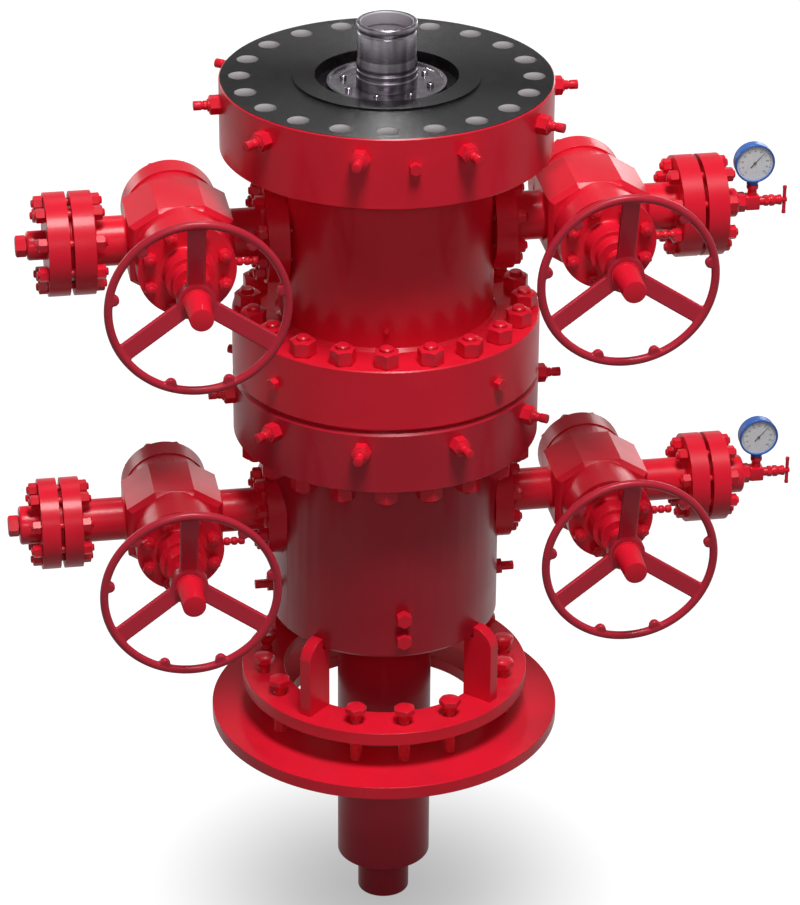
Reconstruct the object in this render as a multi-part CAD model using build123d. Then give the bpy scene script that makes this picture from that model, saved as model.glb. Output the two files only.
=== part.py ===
from build123d import *
from collections import namedtuple
from math import cos, radians, sin
import os

# Two-stage gas wellhead with four side gate valves.
# Millimetres, +Z up. The origin lies on the well axis, on the underside of the base plate.
# The gate valve stems point along -Y, and the side outlets run along +X and -X.

os.makedirs("parts", exist_ok=True)

# Clearances between pieces of one fit
SEAT_GAP = 0.3
RUNNING_GAP = 0.05
HOLE_CLEARANCE = 1.5

# Landing base
PLATE_RADIUS = 424
PLATE_THICKNESS = 32
RING_RADIUS = 349
RING_THICKNESS = 33
PLATE_HOLE_RADIUS = 236
LANDING_HOLE_RADIUS = 246
JACKING_GAP = 71
LANDING_BOLT_CIRCLE_RADIUS = 298
LANDING_BOLT_SLOTS = 16
LANDING_BOLT_RADIUS = 14
LANDING_BOLT_HEAD_FLATS = 46
LANDING_BOLT_HEAD_HEIGHT = 15
LANDING_BOLT_STAND = 27
GUSSET_COUNT = 4
GUSSET_THICKNESS = 30
GUSSET_INSET = 24
GUSSET_OUTER_HEIGHT = 150
GUSSET_LAP = 30
GUSSET_CROWN = 12

# Casing pipes
OUTER_CASING_RADIUS = 114.5
OUTER_CASING_WALL = 12
OUTER_CASING_DROP = 400
INNER_CASING_RADIUS = 63.5
INNER_CASING_WALL = 9
INNER_CASING_DROP = 513
CASING_SOCKET_DEPTH = 110
CASING_TURNED_STEP = 1

# Casing head, the lower body
HEAD_RADIUS = 272
HEAD_CLEAR_HEIGHT = 162
HEAD_BARREL_HEIGHT = 489
MIDDLE_FLANGE_THICKNESS = 155
MIDDLE_NUT_CLEARANCE = 12.8
MIDDLE_FLANGE_MARGIN = 37.5
MIDDLE_STUD_RADIUS = 17
MIDDLE_NUT_FLATS = 54
MIDDLE_NUT_HEIGHT = 38
MIDDLE_STUD_STAND = 7
HEAD_BORE_RADIUS = 173
HEAD_BORE_DEPTH = 430

# Casing spool, the upper body
SPOOL_RADIUS = 252
SPOOL_BARREL_HEIGHT = 407
TOP_BOLT_CIRCLE_RADIUS = 336.55
TOP_FLANGE_MARGIN = 47.5
TOP_FLANGE_THICKNESS = 169
TOP_HOLE_RADIUS = 25.4
SPOOL_BORE_RADIUS = 120
FLANGE_BOLT_COUNT = 20
FLANGE_EDGE_CHAMFER = 9
FLANGE_RIM_CHAMFER = 3
BARREL_FILLET = 8

# Casing hanger in the top of the spool
BOWL_RADIUS = 165
BOWL_LEDGE_DEPTH = 24
BOWL_DEPTH = 95
RAISED_SEAT_RADIUS = 216
RAISED_SEAT_HEIGHT = 4
HANGER_RADIUS = 138
HANGER_SINK = 10
HANGER_RIM_WIDTH = 8
HANGER_GROOVE_DEPTH = 5
HANGER_DISH_RADIUS = 124
HANGER_SCREW_COUNT = 8
HANGER_SCREW_RADIUS = 8
HANGER_SCREW_HEIGHT = 9
HANGER_SCREW_CIRCLE_RADIUS = 102
NECK_RADIUS = 70
NECK_WAIST_RADIUS = 67.5
NECK_BORE_RADIUS = 59
NECK_STAND = 134
NECK_SINK = 19
NECK_COLLAR_LENGTH = 14
NECK_FOOT_LENGTH = 52
NECK_BEVEL_LENGTH = 19

# Lock screws round the two upper flanges
LOCK_SCREW_COUNT = 10
LOCK_SCREW_DEPTH = 47
LOCK_GLAND_FLATS = 40
LOCK_GLAND_LENGTH = 25
LOCK_GLAND_SINK = 12.5
LOCK_SHAFT_RADIUS = 11
LOCK_SHAFT_LENGTH = 36

# Plugs screwed into the bodies
PLUG_FLATS = 34
PLUG_LENGTH = 22
SIDE_VALVE_HEIGHT = 378
SIDE_VALVE_FLATS = 36
SIDE_VALVE_BASE_LENGTH = 16
SIDE_VALVE_RADIUS = 11
SIDE_VALVE_LENGTH = 30
TEST_PORT_FLATS = 26
TEST_PORT_LENGTH = 16
TOP_TEST_PORT_DEPTH = 69
SPOOL_TEST_PORT_HEIGHT = 76
SPOOL_TEST_PORT_COUNT = 4
SPOOL_TEST_PORT_ANGLE = 36
FRONT_ANGLE = 270
NIPPLE_ANGLE = 261
NIPPLE_HEIGHT = 53
NIPPLE_RADIUS = 7
NIPPLE_TIP_RADIUS = 3
NIPPLE_LENGTH = 15
FRONT_PLUG_HEIGHT = 409
FRONT_PLUG_SPACING = 58

# Side outlets
UPPER_OUTLET_HEIGHT = 1306
LOWER_OUTLET_HEIGHT = 585
UPPER_FLAT_OFFSET = 240
LOWER_FLAT_OFFSET = 252
UPPER_VALVE_LENGTH = 493
LOWER_VALVE_LENGTH = 527
OUTLET_STUD_DEPTH = 34
RAISED_FACE_HEIGHT = 4.5
UPPER_OUTLET_RADIUS = 120
LOWER_OUTLET_RADIUS = 108
UPPER_OUTLET_THICKNESS = 50
LOWER_OUTLET_THICKNESS = 44
UPPER_OUTLET_CIRCLE_RADIUS = 95.25
LOWER_OUTLET_CIRCLE_RADIUS = 82.5
UPPER_OUTLET_STUD_RADIUS = 9.5
LOWER_OUTLET_STUD_RADIUS = 9
OUTLET_STUD_COUNT = 8
NUT_FLATS_PER_RADIUS = 3.2
NUT_HEIGHT_PER_RADIUS = 2.3
STUD_STAND_PER_RADIUS = 0.6
RAISED_FACE_STUD_GAP = 4
UPPER_NECK_RADIUS = 57.5
LOWER_NECK_RADIUS = 51
UPPER_FLOW_BORE_RADIUS = 32.5
LOWER_FLOW_BORE_RADIUS = 26

# Gate valve bodies
UPPER_BLOCK_WIDTH = 240
LOWER_BLOCK_WIDTH = 226
UPPER_BLOCK_HEIGHT = 218
LOWER_BLOCK_HEIGHT = 204
UPPER_BLOCK_DEPTH = 184
LOWER_BLOCK_DEPTH = 172
SHOULDER_RUN = 66
SHOULDER_DROP = 41
BLOCK_CHAMFER = 11
UPPER_COLLAR_RADIUS = 108
LOWER_COLLAR_RADIUS = 100
COLLAR_LENGTH = 38
UPPER_BONNET_RADIUS = 113
LOWER_BONNET_RADIUS = 103
BONNET_THICKNESS = 62
UPPER_BONNET_CIRCLE_RADIUS = 92
LOWER_BONNET_CIRCLE_RADIUS = 83
BONNET_STUD_RADIUS = 8.5
BONNET_STUD_COUNT = 8
YOKE_RADIUS = 56
YOKE_LENGTH = 58
GLAND_RADIUS = 44
GLAND_LENGTH = 34
SPINDLE_RADIUS = 24
GREASE_BEAD_COUNT = 3
GREASE_BEAD_RADIUS = 10
GREASE_BEAD_LENGTH = 15
GREASE_STEM_RADIUS = 6
GREASE_STEM_LENGTH = 52

# Handwheels
WHEEL_RADIUS = 210.5
RIM_TUBE_RADIUS = 10
UPPER_WHEEL_REACH = 402
LOWER_WHEEL_REACH = 394
WHEEL_DISH = 30
WHEEL_HUB_RADIUS = 44
WHEEL_HUB_LENGTH = 30
SPOKE_WIDTH = 42
SPOKE_THICKNESS = 12
SPOKE_COUNT = 3
LUGS_PER_GAP = 2
LUG_RADIUS = 13
LUG_THICKNESS = 16
PROTECTOR_ROOT_RADIUS = 31
PROTECTOR_RADIUS = 27
PROTECTOR_STAND = 64
HUB_BORE_DEPTH = 20

# End fittings
END_PLUG_FLATS = 44
END_PLUG_LENGTH = 26
END_COLLAR_RADIUS = 34
END_COLLAR_LENGTH = 43
END_BOSS_RADIUS = 46
END_BOSS_LENGTH = 48
UNION_FLATS = 42
UNION_LENGTH = 21
TEE_SIZE = 34
TEE_ARM_LENGTH = 26
TEE_ARM_RADIUS = 11
NEEDLE_BODY_RADIUS = 14
NEEDLE_BODY_LENGTH = 28
NEEDLE_STEM_RADIUS = 6
NEEDLE_STEM_LENGTH = 14
NEEDLE_SOCKET_DEPTH = 18
HANDLE_RADIUS = 5
HANDLE_SPAN = 70
HANDLE_STEM_TIP = 1
GAUGE_RADIUS = 48
GAUGE_DEPTH = 34
GAUGE_STEM_RADIUS = 11
GAUGE_STEM_LENGTH = 20
GAUGE_STEM_LAP = 10
GAUGE_GLASS_INSET = 4

# Flange sizes, worked out from the sizes above
MIDDLE_NUT_CORNER_RADIUS = MIDDLE_NUT_FLATS / 2 / cos(radians(30))
MIDDLE_BOLT_CIRCLE_RADIUS = HEAD_RADIUS + BARREL_FILLET + MIDDLE_NUT_CLEARANCE + MIDDLE_NUT_CORNER_RADIUS
MIDDLE_FLANGE_RADIUS = MIDDLE_BOLT_CIRCLE_RADIUS + MIDDLE_FLANGE_MARGIN
TOP_FLANGE_RADIUS = TOP_BOLT_CIRCLE_RADIUS + TOP_FLANGE_MARGIN

# Levels, worked out from the sizes above
RING_BOTTOM = PLATE_THICKNESS + JACKING_GAP
RING_TOP = RING_BOTTOM + RING_THICKNESS
HEAD_BOTTOM = RING_TOP + HEAD_CLEAR_HEIGHT
HEAD_FLANGE_BOTTOM = HEAD_BOTTOM + HEAD_BARREL_HEIGHT
JOINT_LEVEL = HEAD_FLANGE_BOTTOM + MIDDLE_FLANGE_THICKNESS
SPOOL_FLANGE_TOP = JOINT_LEVEL + MIDDLE_FLANGE_THICKNESS
TOP_FLANGE_BOTTOM = SPOOL_FLANGE_TOP + SPOOL_BARREL_HEIGHT
TOP_LEVEL = TOP_FLANGE_BOTTOM + TOP_FLANGE_THICKNESS

ValveSize = namedtuple(
    "ValveSize",
    "level flat length flange_radius flange_thickness circle stud neck bore width height depth "
    "collar bonnet bonnet_circle reach",
)
UPPER = ValveSize(
    UPPER_OUTLET_HEIGHT, UPPER_FLAT_OFFSET, UPPER_VALVE_LENGTH, UPPER_OUTLET_RADIUS,
    UPPER_OUTLET_THICKNESS, UPPER_OUTLET_CIRCLE_RADIUS, UPPER_OUTLET_STUD_RADIUS,
    UPPER_NECK_RADIUS, UPPER_FLOW_BORE_RADIUS, UPPER_BLOCK_WIDTH, UPPER_BLOCK_HEIGHT,
    UPPER_BLOCK_DEPTH, UPPER_COLLAR_RADIUS, UPPER_BONNET_RADIUS, UPPER_BONNET_CIRCLE_RADIUS,
    UPPER_WHEEL_REACH,
)
LOWER = ValveSize(
    LOWER_OUTLET_HEIGHT, LOWER_FLAT_OFFSET, LOWER_VALVE_LENGTH, LOWER_OUTLET_RADIUS,
    LOWER_OUTLET_THICKNESS, LOWER_OUTLET_CIRCLE_RADIUS, LOWER_OUTLET_STUD_RADIUS,
    LOWER_NECK_RADIUS, LOWER_FLOW_BORE_RADIUS, LOWER_BLOCK_WIDTH, LOWER_BLOCK_HEIGHT,
    LOWER_BLOCK_DEPTH, LOWER_COLLAR_RADIUS, LOWER_BONNET_RADIUS, LOWER_BONNET_CIRCLE_RADIUS,
    LOWER_WHEEL_REACH,
)


def turned(points):
    """Solid of revolution about Z from (radius, height) points."""
    outline = Polyline(*[(r, 0, z) for r, z in points], close=True)
    return revolve(make_face(outline), Axis.Z, 360)


def rod(radius, start, direction, length):
    """Round bar from a start point along a direction."""
    plane = Plane(origin=start, z_dir=direction)
    return extrude(plane * Circle(radius), length)


def hexagon(flats, start, direction, length):
    """Hexagonal bar, measured across its flats."""
    plane = Plane(origin=start, z_dir=direction)
    side = RegularPolygon(flats / 2, 6, major_radius=False)
    return extrude(plane * side, length)


def spread(shape, count, first=0.0):
    """Copies of one shape turned evenly about Z."""
    return [shape.rotate(Axis.Z, first + 360 * i / count) for i in range(count)]


def save(name, shapes):
    """Write one node, from one solid or a list of separate solids."""
    pieces = shapes if isinstance(shapes, list) else [shapes]
    solids = [solid for piece in pieces for solid in piece.solids()]
    export_step(solids[0] if len(solids) == 1 else Compound(children=solids), f"parts/{name}.step")


def bolt_step():
    """Angle between neighbouring studs of the large flanges."""
    return 360 / FLANGE_BOLT_COUNT


def outer_casing():
    """Large casing pipe, held in the socket of the casing head."""
    top = HEAD_BOTTOM + CASING_SOCKET_DEPTH
    inner = OUTER_CASING_RADIUS - OUTER_CASING_WALL
    turned_end = OUTER_CASING_RADIUS - CASING_TURNED_STEP
    return turned([(inner, -OUTER_CASING_DROP), (OUTER_CASING_RADIUS, -OUTER_CASING_DROP),
                   (OUTER_CASING_RADIUS, HEAD_BOTTOM), (turned_end, HEAD_BOTTOM), (turned_end, top), (inner, top)])


def inner_casing():
    """Small casing pipe, hung in the hanger and running down inside the large one."""
    top = TOP_LEVEL - NECK_SINK - SEAT_GAP
    inner = INNER_CASING_RADIUS - INNER_CASING_WALL
    return turned([(inner, -INNER_CASING_DROP), (INNER_CASING_RADIUS, -INNER_CASING_DROP),
                   (INNER_CASING_RADIUS, top), (inner, top)])


def base_plate():
    """Flat round plate that stands on the ground or the conductor."""
    return turned([(PLATE_HOLE_RADIUS, 0), (PLATE_RADIUS, 0),
                   (PLATE_RADIUS, PLATE_THICKNESS), (PLATE_HOLE_RADIUS, PLATE_THICKNESS)])


def gusset_slot(index):
    """True where a gusset takes the place of a landing bolt."""
    slots_per_gusset = LANDING_BOLT_SLOTS // GUSSET_COUNT
    return index % slots_per_gusset == slots_per_gusset // 2


def landing_bolt_angles():
    """Angles of the landing bolts, in degrees from +X."""
    step = 360 / LANDING_BOLT_SLOTS
    return [i * step for i in range(LANDING_BOLT_SLOTS) if not gusset_slot(i)]


def landing_ring():
    """Raised ring that carries the gussets, drilled for the landing bolts."""
    ring = turned([(LANDING_HOLE_RADIUS, RING_BOTTOM), (RING_RADIUS, RING_BOTTOM),
                   (RING_RADIUS, RING_TOP), (LANDING_HOLE_RADIUS, RING_TOP)])
    for angle in landing_bolt_angles():
        spot = (LANDING_BOLT_CIRCLE_RADIUS * cos(radians(angle)),
                LANDING_BOLT_CIRCLE_RADIUS * sin(radians(angle)), RING_BOTTOM)
        ring = ring - rod(LANDING_BOLT_RADIUS + SEAT_GAP, spot, (0, 0, 1), RING_THICKNESS)
    return ring


def landing_bolts():
    """Jacking bolts through the ring, with their feet on the base plate."""
    shank = RING_TOP + LANDING_BOLT_STAND - PLATE_THICKNESS
    bolt = rod(LANDING_BOLT_RADIUS, (LANDING_BOLT_CIRCLE_RADIUS, 0, PLATE_THICKNESS), (0, 0, 1), shank)
    head = hexagon(LANDING_BOLT_HEAD_FLATS, (LANDING_BOLT_CIRCLE_RADIUS, 0, RING_TOP + LANDING_BOLT_STAND),
                   (0, 0, 1), LANDING_BOLT_HEAD_HEIGHT)
    return [(bolt + head).rotate(Axis.Z, angle) for angle in landing_bolt_angles()]


def landing_gussets():
    """Curved gusset plates between the ring and the casing head."""
    outer = RING_RADIUS - GUSSET_INSET
    low, high = RING_TOP, RING_TOP + GUSSET_OUTER_HEIGHT
    lap = HEAD_BOTTOM + GUSSET_LAP
    with BuildPart() as gusset:
        with BuildSketch(Plane.XZ):
            with BuildLine():
                Polyline((LANDING_HOLE_RADIUS, low), (outer, low), (outer, high))
                SagittaArc((outer, high), (HEAD_RADIUS, lap), -GUSSET_CROWN)
                Polyline((HEAD_RADIUS, lap), (HEAD_RADIUS, HEAD_BOTTOM), (LANDING_HOLE_RADIUS, HEAD_BOTTOM),
                         (LANDING_HOLE_RADIUS, low))
            make_face()
        extrude(amount=GUSSET_THICKNESS / 2, both=True)
    trimmed = gusset.part - rod(HEAD_RADIUS, (0, 0, HEAD_BOTTOM), (0, 0, 1), HEAD_BARREL_HEIGHT)
    return spread(trimmed, GUSSET_COUNT, 180 / GUSSET_COUNT)


def ring_drill(radius, circle, bottom, height):
    """Ring of drills for one large flange."""
    drill = rod(radius, (circle, 0, bottom), (0, 0, 1), height)
    return spread(drill, FLANGE_BOLT_COUNT, bolt_step() / 2)


def outlet_cuts(size):
    """Spot face, flow bore and stud holes of the two side outlets."""
    cuts = []
    for side in (-1, 1):
        face = (side * size.flat, 0, size.level)
        cuts.append(rod(size.flange_radius + SEAT_GAP, face, (side, 0, 0), size.flat))
        cuts.append(rod(size.bore, (0, 0, size.level), (side, 0, 0), size.flat))
        for point in stud_points(size.circle, OUTLET_STUD_COUNT):
            start = (face[0], point[0], size.level + point[1])
            cuts.append(rod(size.stud, start, (-side, 0, 0), OUTLET_STUD_DEPTH))
    return cuts


def stud_points(circle, count):
    """Points of a stud circle that straddles its centre lines."""
    return [(circle * cos(radians(360 * (i + 0.5) / count)), circle * sin(radians(360 * (i + 0.5) / count)))
            for i in range(count)]


def casing_head():
    """Lower body: barrel, top flange, stepped bore and two side outlets."""
    step_top = JOINT_LEVEL - HEAD_BORE_DEPTH
    socket_top = HEAD_BOTTOM + CASING_SOCKET_DEPTH
    throat = OUTER_CASING_RADIUS - OUTER_CASING_WALL
    socket = OUTER_CASING_RADIUS - CASING_TURNED_STEP
    body = turned([
        (socket, HEAD_BOTTOM), (HEAD_RADIUS - FLANGE_EDGE_CHAMFER, HEAD_BOTTOM),
        (HEAD_RADIUS, HEAD_BOTTOM + FLANGE_EDGE_CHAMFER), (HEAD_RADIUS, HEAD_FLANGE_BOTTOM - BARREL_FILLET),
        (HEAD_RADIUS + BARREL_FILLET, HEAD_FLANGE_BOTTOM), (MIDDLE_FLANGE_RADIUS - FLANGE_RIM_CHAMFER,
                                                            HEAD_FLANGE_BOTTOM),
        (MIDDLE_FLANGE_RADIUS, HEAD_FLANGE_BOTTOM + FLANGE_RIM_CHAMFER),
        (MIDDLE_FLANGE_RADIUS, JOINT_LEVEL - FLANGE_EDGE_CHAMFER),
        (MIDDLE_FLANGE_RADIUS - FLANGE_EDGE_CHAMFER, JOINT_LEVEL), (HEAD_BORE_RADIUS, JOINT_LEVEL),
        (HEAD_BORE_RADIUS, step_top), (throat, step_top - (HEAD_BORE_RADIUS - throat) / 2),
        (throat, socket_top), (socket, socket_top),
    ])
    for drill in ring_drill(MIDDLE_STUD_RADIUS + HOLE_CLEARANCE, MIDDLE_BOLT_CIRCLE_RADIUS,
                            HEAD_FLANGE_BOTTOM, MIDDLE_FLANGE_THICKNESS):
        body = body - drill
    for cut in outlet_cuts(LOWER):
        body = body - cut
    return body


def casing_spool():
    """Upper body: two flanges, barrel, hanger bowl and two side outlets."""
    bowl_floor = TOP_LEVEL - BOWL_DEPTH
    body = turned([
        (SPOOL_BORE_RADIUS, JOINT_LEVEL), (MIDDLE_FLANGE_RADIUS - FLANGE_EDGE_CHAMFER, JOINT_LEVEL),
        (MIDDLE_FLANGE_RADIUS, JOINT_LEVEL + FLANGE_EDGE_CHAMFER),
        (MIDDLE_FLANGE_RADIUS, SPOOL_FLANGE_TOP - FLANGE_RIM_CHAMFER),
        (MIDDLE_FLANGE_RADIUS - FLANGE_RIM_CHAMFER, SPOOL_FLANGE_TOP),
        (SPOOL_RADIUS + BARREL_FILLET, SPOOL_FLANGE_TOP),
        (SPOOL_RADIUS, SPOOL_FLANGE_TOP + BARREL_FILLET), (SPOOL_RADIUS, TOP_FLANGE_BOTTOM - BARREL_FILLET),
        (SPOOL_RADIUS + BARREL_FILLET, TOP_FLANGE_BOTTOM),
        (TOP_FLANGE_RADIUS - FLANGE_RIM_CHAMFER, TOP_FLANGE_BOTTOM),
        (TOP_FLANGE_RADIUS, TOP_FLANGE_BOTTOM + FLANGE_RIM_CHAMFER),
        (TOP_FLANGE_RADIUS, TOP_LEVEL - FLANGE_RIM_CHAMFER),
        (TOP_FLANGE_RADIUS - FLANGE_RIM_CHAMFER, TOP_LEVEL), (RAISED_SEAT_RADIUS, TOP_LEVEL),
        (RAISED_SEAT_RADIUS, TOP_LEVEL + RAISED_SEAT_HEIGHT), (BOWL_RADIUS, TOP_LEVEL + RAISED_SEAT_HEIGHT),
        (BOWL_RADIUS, TOP_LEVEL - BOWL_LEDGE_DEPTH), (HANGER_RADIUS + SEAT_GAP, TOP_LEVEL - BOWL_LEDGE_DEPTH),
        (HANGER_RADIUS + SEAT_GAP, bowl_floor), (SPOOL_BORE_RADIUS, bowl_floor),
    ])
    for drill in ring_drill(MIDDLE_STUD_RADIUS + HOLE_CLEARANCE, MIDDLE_BOLT_CIRCLE_RADIUS,
                            JOINT_LEVEL, MIDDLE_FLANGE_THICKNESS):
        body = body - drill
    for drill in ring_drill(TOP_HOLE_RADIUS, TOP_BOLT_CIRCLE_RADIUS, TOP_FLANGE_BOTTOM,
                            TOP_FLANGE_THICKNESS):
        body = body - drill
    for cut in outlet_cuts(UPPER):
        body = body - cut
    return body


def middle_studs():
    """Studs and nuts that clamp the spool onto the casing head."""
    low = HEAD_FLANGE_BOTTOM - MIDDLE_NUT_HEIGHT - MIDDLE_STUD_STAND
    high = SPOOL_FLANGE_TOP + MIDDLE_NUT_HEIGHT + MIDDLE_STUD_STAND
    stud = rod(MIDDLE_STUD_RADIUS, (MIDDLE_BOLT_CIRCLE_RADIUS, 0, low), (0, 0, 1), high - low)
    for start in (HEAD_FLANGE_BOTTOM - MIDDLE_NUT_HEIGHT, SPOOL_FLANGE_TOP):
        stud = stud + hexagon(MIDDLE_NUT_FLATS, (MIDDLE_BOLT_CIRCLE_RADIUS, 0, start), (0, 0, 1),
                              MIDDLE_NUT_HEIGHT)
    return spread(stud, FLANGE_BOLT_COUNT, bolt_step() / 2)


def hanger_dish_level(radius):
    """Height of the hanger's dished top at a radius between the neck and the rim."""
    rim_level = TOP_LEVEL - HANGER_SINK - HANGER_GROOVE_DEPTH
    share = (radius - NECK_RADIUS) / (HANGER_DISH_RADIUS - NECK_RADIUS)
    return TOP_LEVEL - NECK_SINK + share * (rim_level - TOP_LEVEL + NECK_SINK)


def casing_hanger():
    """Hanger body round the inner casing: a dished top inside a raised rim, seated in the bowl."""
    bottom = TOP_LEVEL - BOWL_DEPTH
    top = TOP_LEVEL - HANGER_SINK
    inner = INNER_CASING_RADIUS + SEAT_GAP
    rim_inner = HANGER_RADIUS - HANGER_RIM_WIDTH
    return turned([
        (inner, bottom), (HANGER_RADIUS, bottom), (HANGER_RADIUS, top), (rim_inner, top),
        (rim_inner, top - HANGER_GROOVE_DEPTH), (HANGER_DISH_RADIUS, hanger_dish_level(HANGER_DISH_RADIUS)),
        (NECK_RADIUS, hanger_dish_level(NECK_RADIUS)), (inner, hanger_dish_level(NECK_RADIUS)),
    ])


def hanger_screws():
    """Cap screws standing on the dish of the hanger."""
    foot = hanger_dish_level(HANGER_SCREW_CIRCLE_RADIUS + HANGER_SCREW_RADIUS)
    place = (HANGER_SCREW_CIRCLE_RADIUS, 0, foot)
    return spread(rod(HANGER_SCREW_RADIUS, place, (0, 0, 1), HANGER_SCREW_HEIGHT), HANGER_SCREW_COUNT,
                  180 / HANGER_SCREW_COUNT)


def hanger_neck():
    """Machined neck that stands out of the top flange: foot, bevel, waist and top collar."""
    base = TOP_LEVEL - NECK_SINK
    top = TOP_LEVEL + NECK_STAND
    foot_top = TOP_LEVEL + NECK_FOOT_LENGTH - NECK_BEVEL_LENGTH
    relief = NECK_RADIUS - NECK_WAIST_RADIUS
    return turned([
        (NECK_BORE_RADIUS, base), (NECK_RADIUS, base), (NECK_RADIUS, foot_top),
        (NECK_WAIST_RADIUS, foot_top + NECK_BEVEL_LENGTH), (NECK_WAIST_RADIUS, top - NECK_COLLAR_LENGTH - relief),
        (NECK_RADIUS, top - NECK_COLLAR_LENGTH), (NECK_RADIUS, top - relief),
        (NECK_RADIUS - relief, top), (NECK_BORE_RADIUS + relief, top), (NECK_BORE_RADIUS, top - relief),
    ])


def lock_screw(rim, level):
    """Gland nut and screw end, standing out of a flange rim along +X."""
    root = (rim - LOCK_GLAND_SINK, 0, level)
    length = LOCK_GLAND_SINK + LOCK_GLAND_LENGTH
    gland = hexagon(LOCK_GLAND_FLATS, root, (1, 0, 0), length)
    shaft = rod(LOCK_SHAFT_RADIUS, root, (1, 0, 0), length + LOCK_SHAFT_LENGTH)
    return on_rim(gland + shaft, rim, level, LOCK_GLAND_FLATS)


def lock_screws():
    """Lock screws round the top flange and round the casing head flange."""
    upper = lock_screw(TOP_FLANGE_RADIUS, TOP_LEVEL - LOCK_SCREW_DEPTH)
    lower = lock_screw(MIDDLE_FLANGE_RADIUS, JOINT_LEVEL - LOCK_SCREW_DEPTH)
    return spread(upper, LOCK_SCREW_COUNT) + spread(lower, LOCK_SCREW_COUNT)


def valve_centre(size, side):
    """Middle of the valve, on the axis of its outlet."""
    return side * (size.flat + size.length / 2)


def hub_back(size):
    """Distance from the outlet axis to the back of the wheel hub."""
    return size.reach - WHEEL_DISH - WHEEL_HUB_LENGTH


def valve_body(size, side):
    """Cast gate valve body: end flanges, necks, shouldered block and round bonnet seats."""
    half_w, half_h, half_d = size.width / 2, size.height / 2, size.depth / 2
    outline = [(half_w, half_h - SHOULDER_DROP), (half_w - SHOULDER_RUN, half_h)]
    corners = outline + [(-x, z) for x, z in reversed(outline)]
    corners = corners + [(-x, -z) for x, z in corners]
    block = extrude(Plane.XZ * make_face(Polyline(*corners, close=True)), half_d, both=True)
    block = chamfer(block.faces().sort_by(Axis.Y)[0].edges(), BLOCK_CHAMFER)
    block = chamfer(block.faces().sort_by(Axis.Y)[-1].edges(), BLOCK_CHAMFER)
    reach = half_d + COLLAR_LENGTH
    collars = rod(size.collar, (0, -reach, 0), (0, 1, 0), 2 * reach)
    neck = rod(size.neck, (-size.length / 2, 0, 0), (1, 0, 0), size.length)
    body = block + collars + neck
    for end in (-1, 1):
        edge = end * size.length / 2
        body = body + rod(size.flange_radius, (edge, 0, 0), (-end, 0, 0), size.flange_thickness)
    outer = side * size.length / 2
    body = body + rod(raised_face_radius(size), (outer, 0, 0), (side, 0, 0), RAISED_FACE_HEIGHT)
    body = body - rod(size.bore, (-size.length, 0, 0), (1, 0, 0), 2 * size.length)
    for point in stud_points(size.circle, OUTLET_STUD_COUNT):
        for end in (-1, 1):
            start = (end * size.length / 2, point[0], point[1])
            body = body - rod(size.stud + HOLE_CLEARANCE, start, (-end, 0, 0), size.flange_thickness)
    return body.moved(Location((valve_centre(size, side), 0, size.level)))


def bonnets(size, side):
    """Front bonnet with its yoke and gland, and the plain rear cover."""
    seat = size.depth / 2 + COLLAR_LENGTH
    face = seat + BONNET_THICKNESS
    front = rod(size.bonnet, (0, -seat, 0), (0, -1, 0), BONNET_THICKNESS)
    front = front + rod(YOKE_RADIUS, (0, -face, 0), (0, -1, 0), YOKE_LENGTH)
    front = front + rod(GLAND_RADIUS, (0, -face - YOKE_LENGTH, 0), (0, -1, 0), GLAND_LENGTH)
    spindle_end = hub_back(size) + HUB_BORE_DEPTH - SEAT_GAP
    spindle_root = face + YOKE_LENGTH + GLAND_LENGTH
    front = front + rod(SPINDLE_RADIUS, (0, -spindle_root, 0), (0, -1, 0), spindle_end - spindle_root)
    rear = rod(size.bonnet, (0, seat, 0), (0, 1, 0), BONNET_THICKNESS)
    for point in stud_points(size.bonnet_circle, BONNET_STUD_COUNT):
        hole = BONNET_STUD_RADIUS + HOLE_CLEARANCE
        front = front - rod(hole, (point[0], -seat, point[1]), (0, -1, 0), BONNET_THICKNESS)
        rear = rear - rod(hole, (point[0], seat, point[1]), (0, 1, 0), BONNET_THICKNESS)
    place = Location((valve_centre(size, side), 0, size.level))
    return [front.moved(place), rear.moved(place)]


def stud_with_nuts(radius, start, direction, grip, first_nut=True):
    """Stud through a clamped grip length, with a nut behind its far end and, if asked, one at its start."""
    way = Vector(*direction)
    stand = STUD_STAND_PER_RADIUS * radius
    height = NUT_HEIGHT_PER_RADIUS * radius
    flats = NUT_FLATS_PER_RADIUS * radius
    tail = height + stand if first_nut else 0
    near = Vector(*start)
    stud = rod(radius, near - way * tail, direction, tail + grip + height + stand)
    stud = stud + hexagon(flats, near + way * grip, direction, height)
    if first_nut:
        stud = stud + hexagon(flats, near - way * height, direction, height)
    return stud


def valve_studs(size, side):
    """Studs and nuts of the two bonnet flanges, the inner flange and the outer flange pair."""
    pieces = []
    seat = size.depth / 2 + COLLAR_LENGTH
    half = size.length / 2
    for point in stud_points(size.bonnet_circle, BONNET_STUD_COUNT):
        for way in (-1, 1):
            pieces.append(stud_with_nuts(BONNET_STUD_RADIUS, (point[0], way * seat, point[1]), (0, way, 0),
                                         BONNET_THICKNESS, first_nut=False))
    for point in stud_points(size.circle, OUTLET_STUD_COUNT):
        root = (-side * (half + OUTLET_STUD_DEPTH), point[0], point[1])
        pieces.append(stud_with_nuts(size.stud, root, (side, 0, 0), OUTLET_STUD_DEPTH + size.flange_thickness,
                                     first_nut=False))
        near = (side * (half - size.flange_thickness), point[0], point[1])
        grip = 2 * size.flange_thickness + 2 * RAISED_FACE_HEIGHT
        pieces.append(stud_with_nuts(size.stud, near, (side, 0, 0), grip))
    place = Location((valve_centre(size, side), 0, size.level))
    return [piece.moved(place) for piece in pieces]


def raised_face_radius(size):
    """Radius of the raised face inside the stud holes of an outlet flange."""
    return size.circle - size.stud - HOLE_CLEARANCE - RAISED_FACE_STUD_GAP


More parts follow.
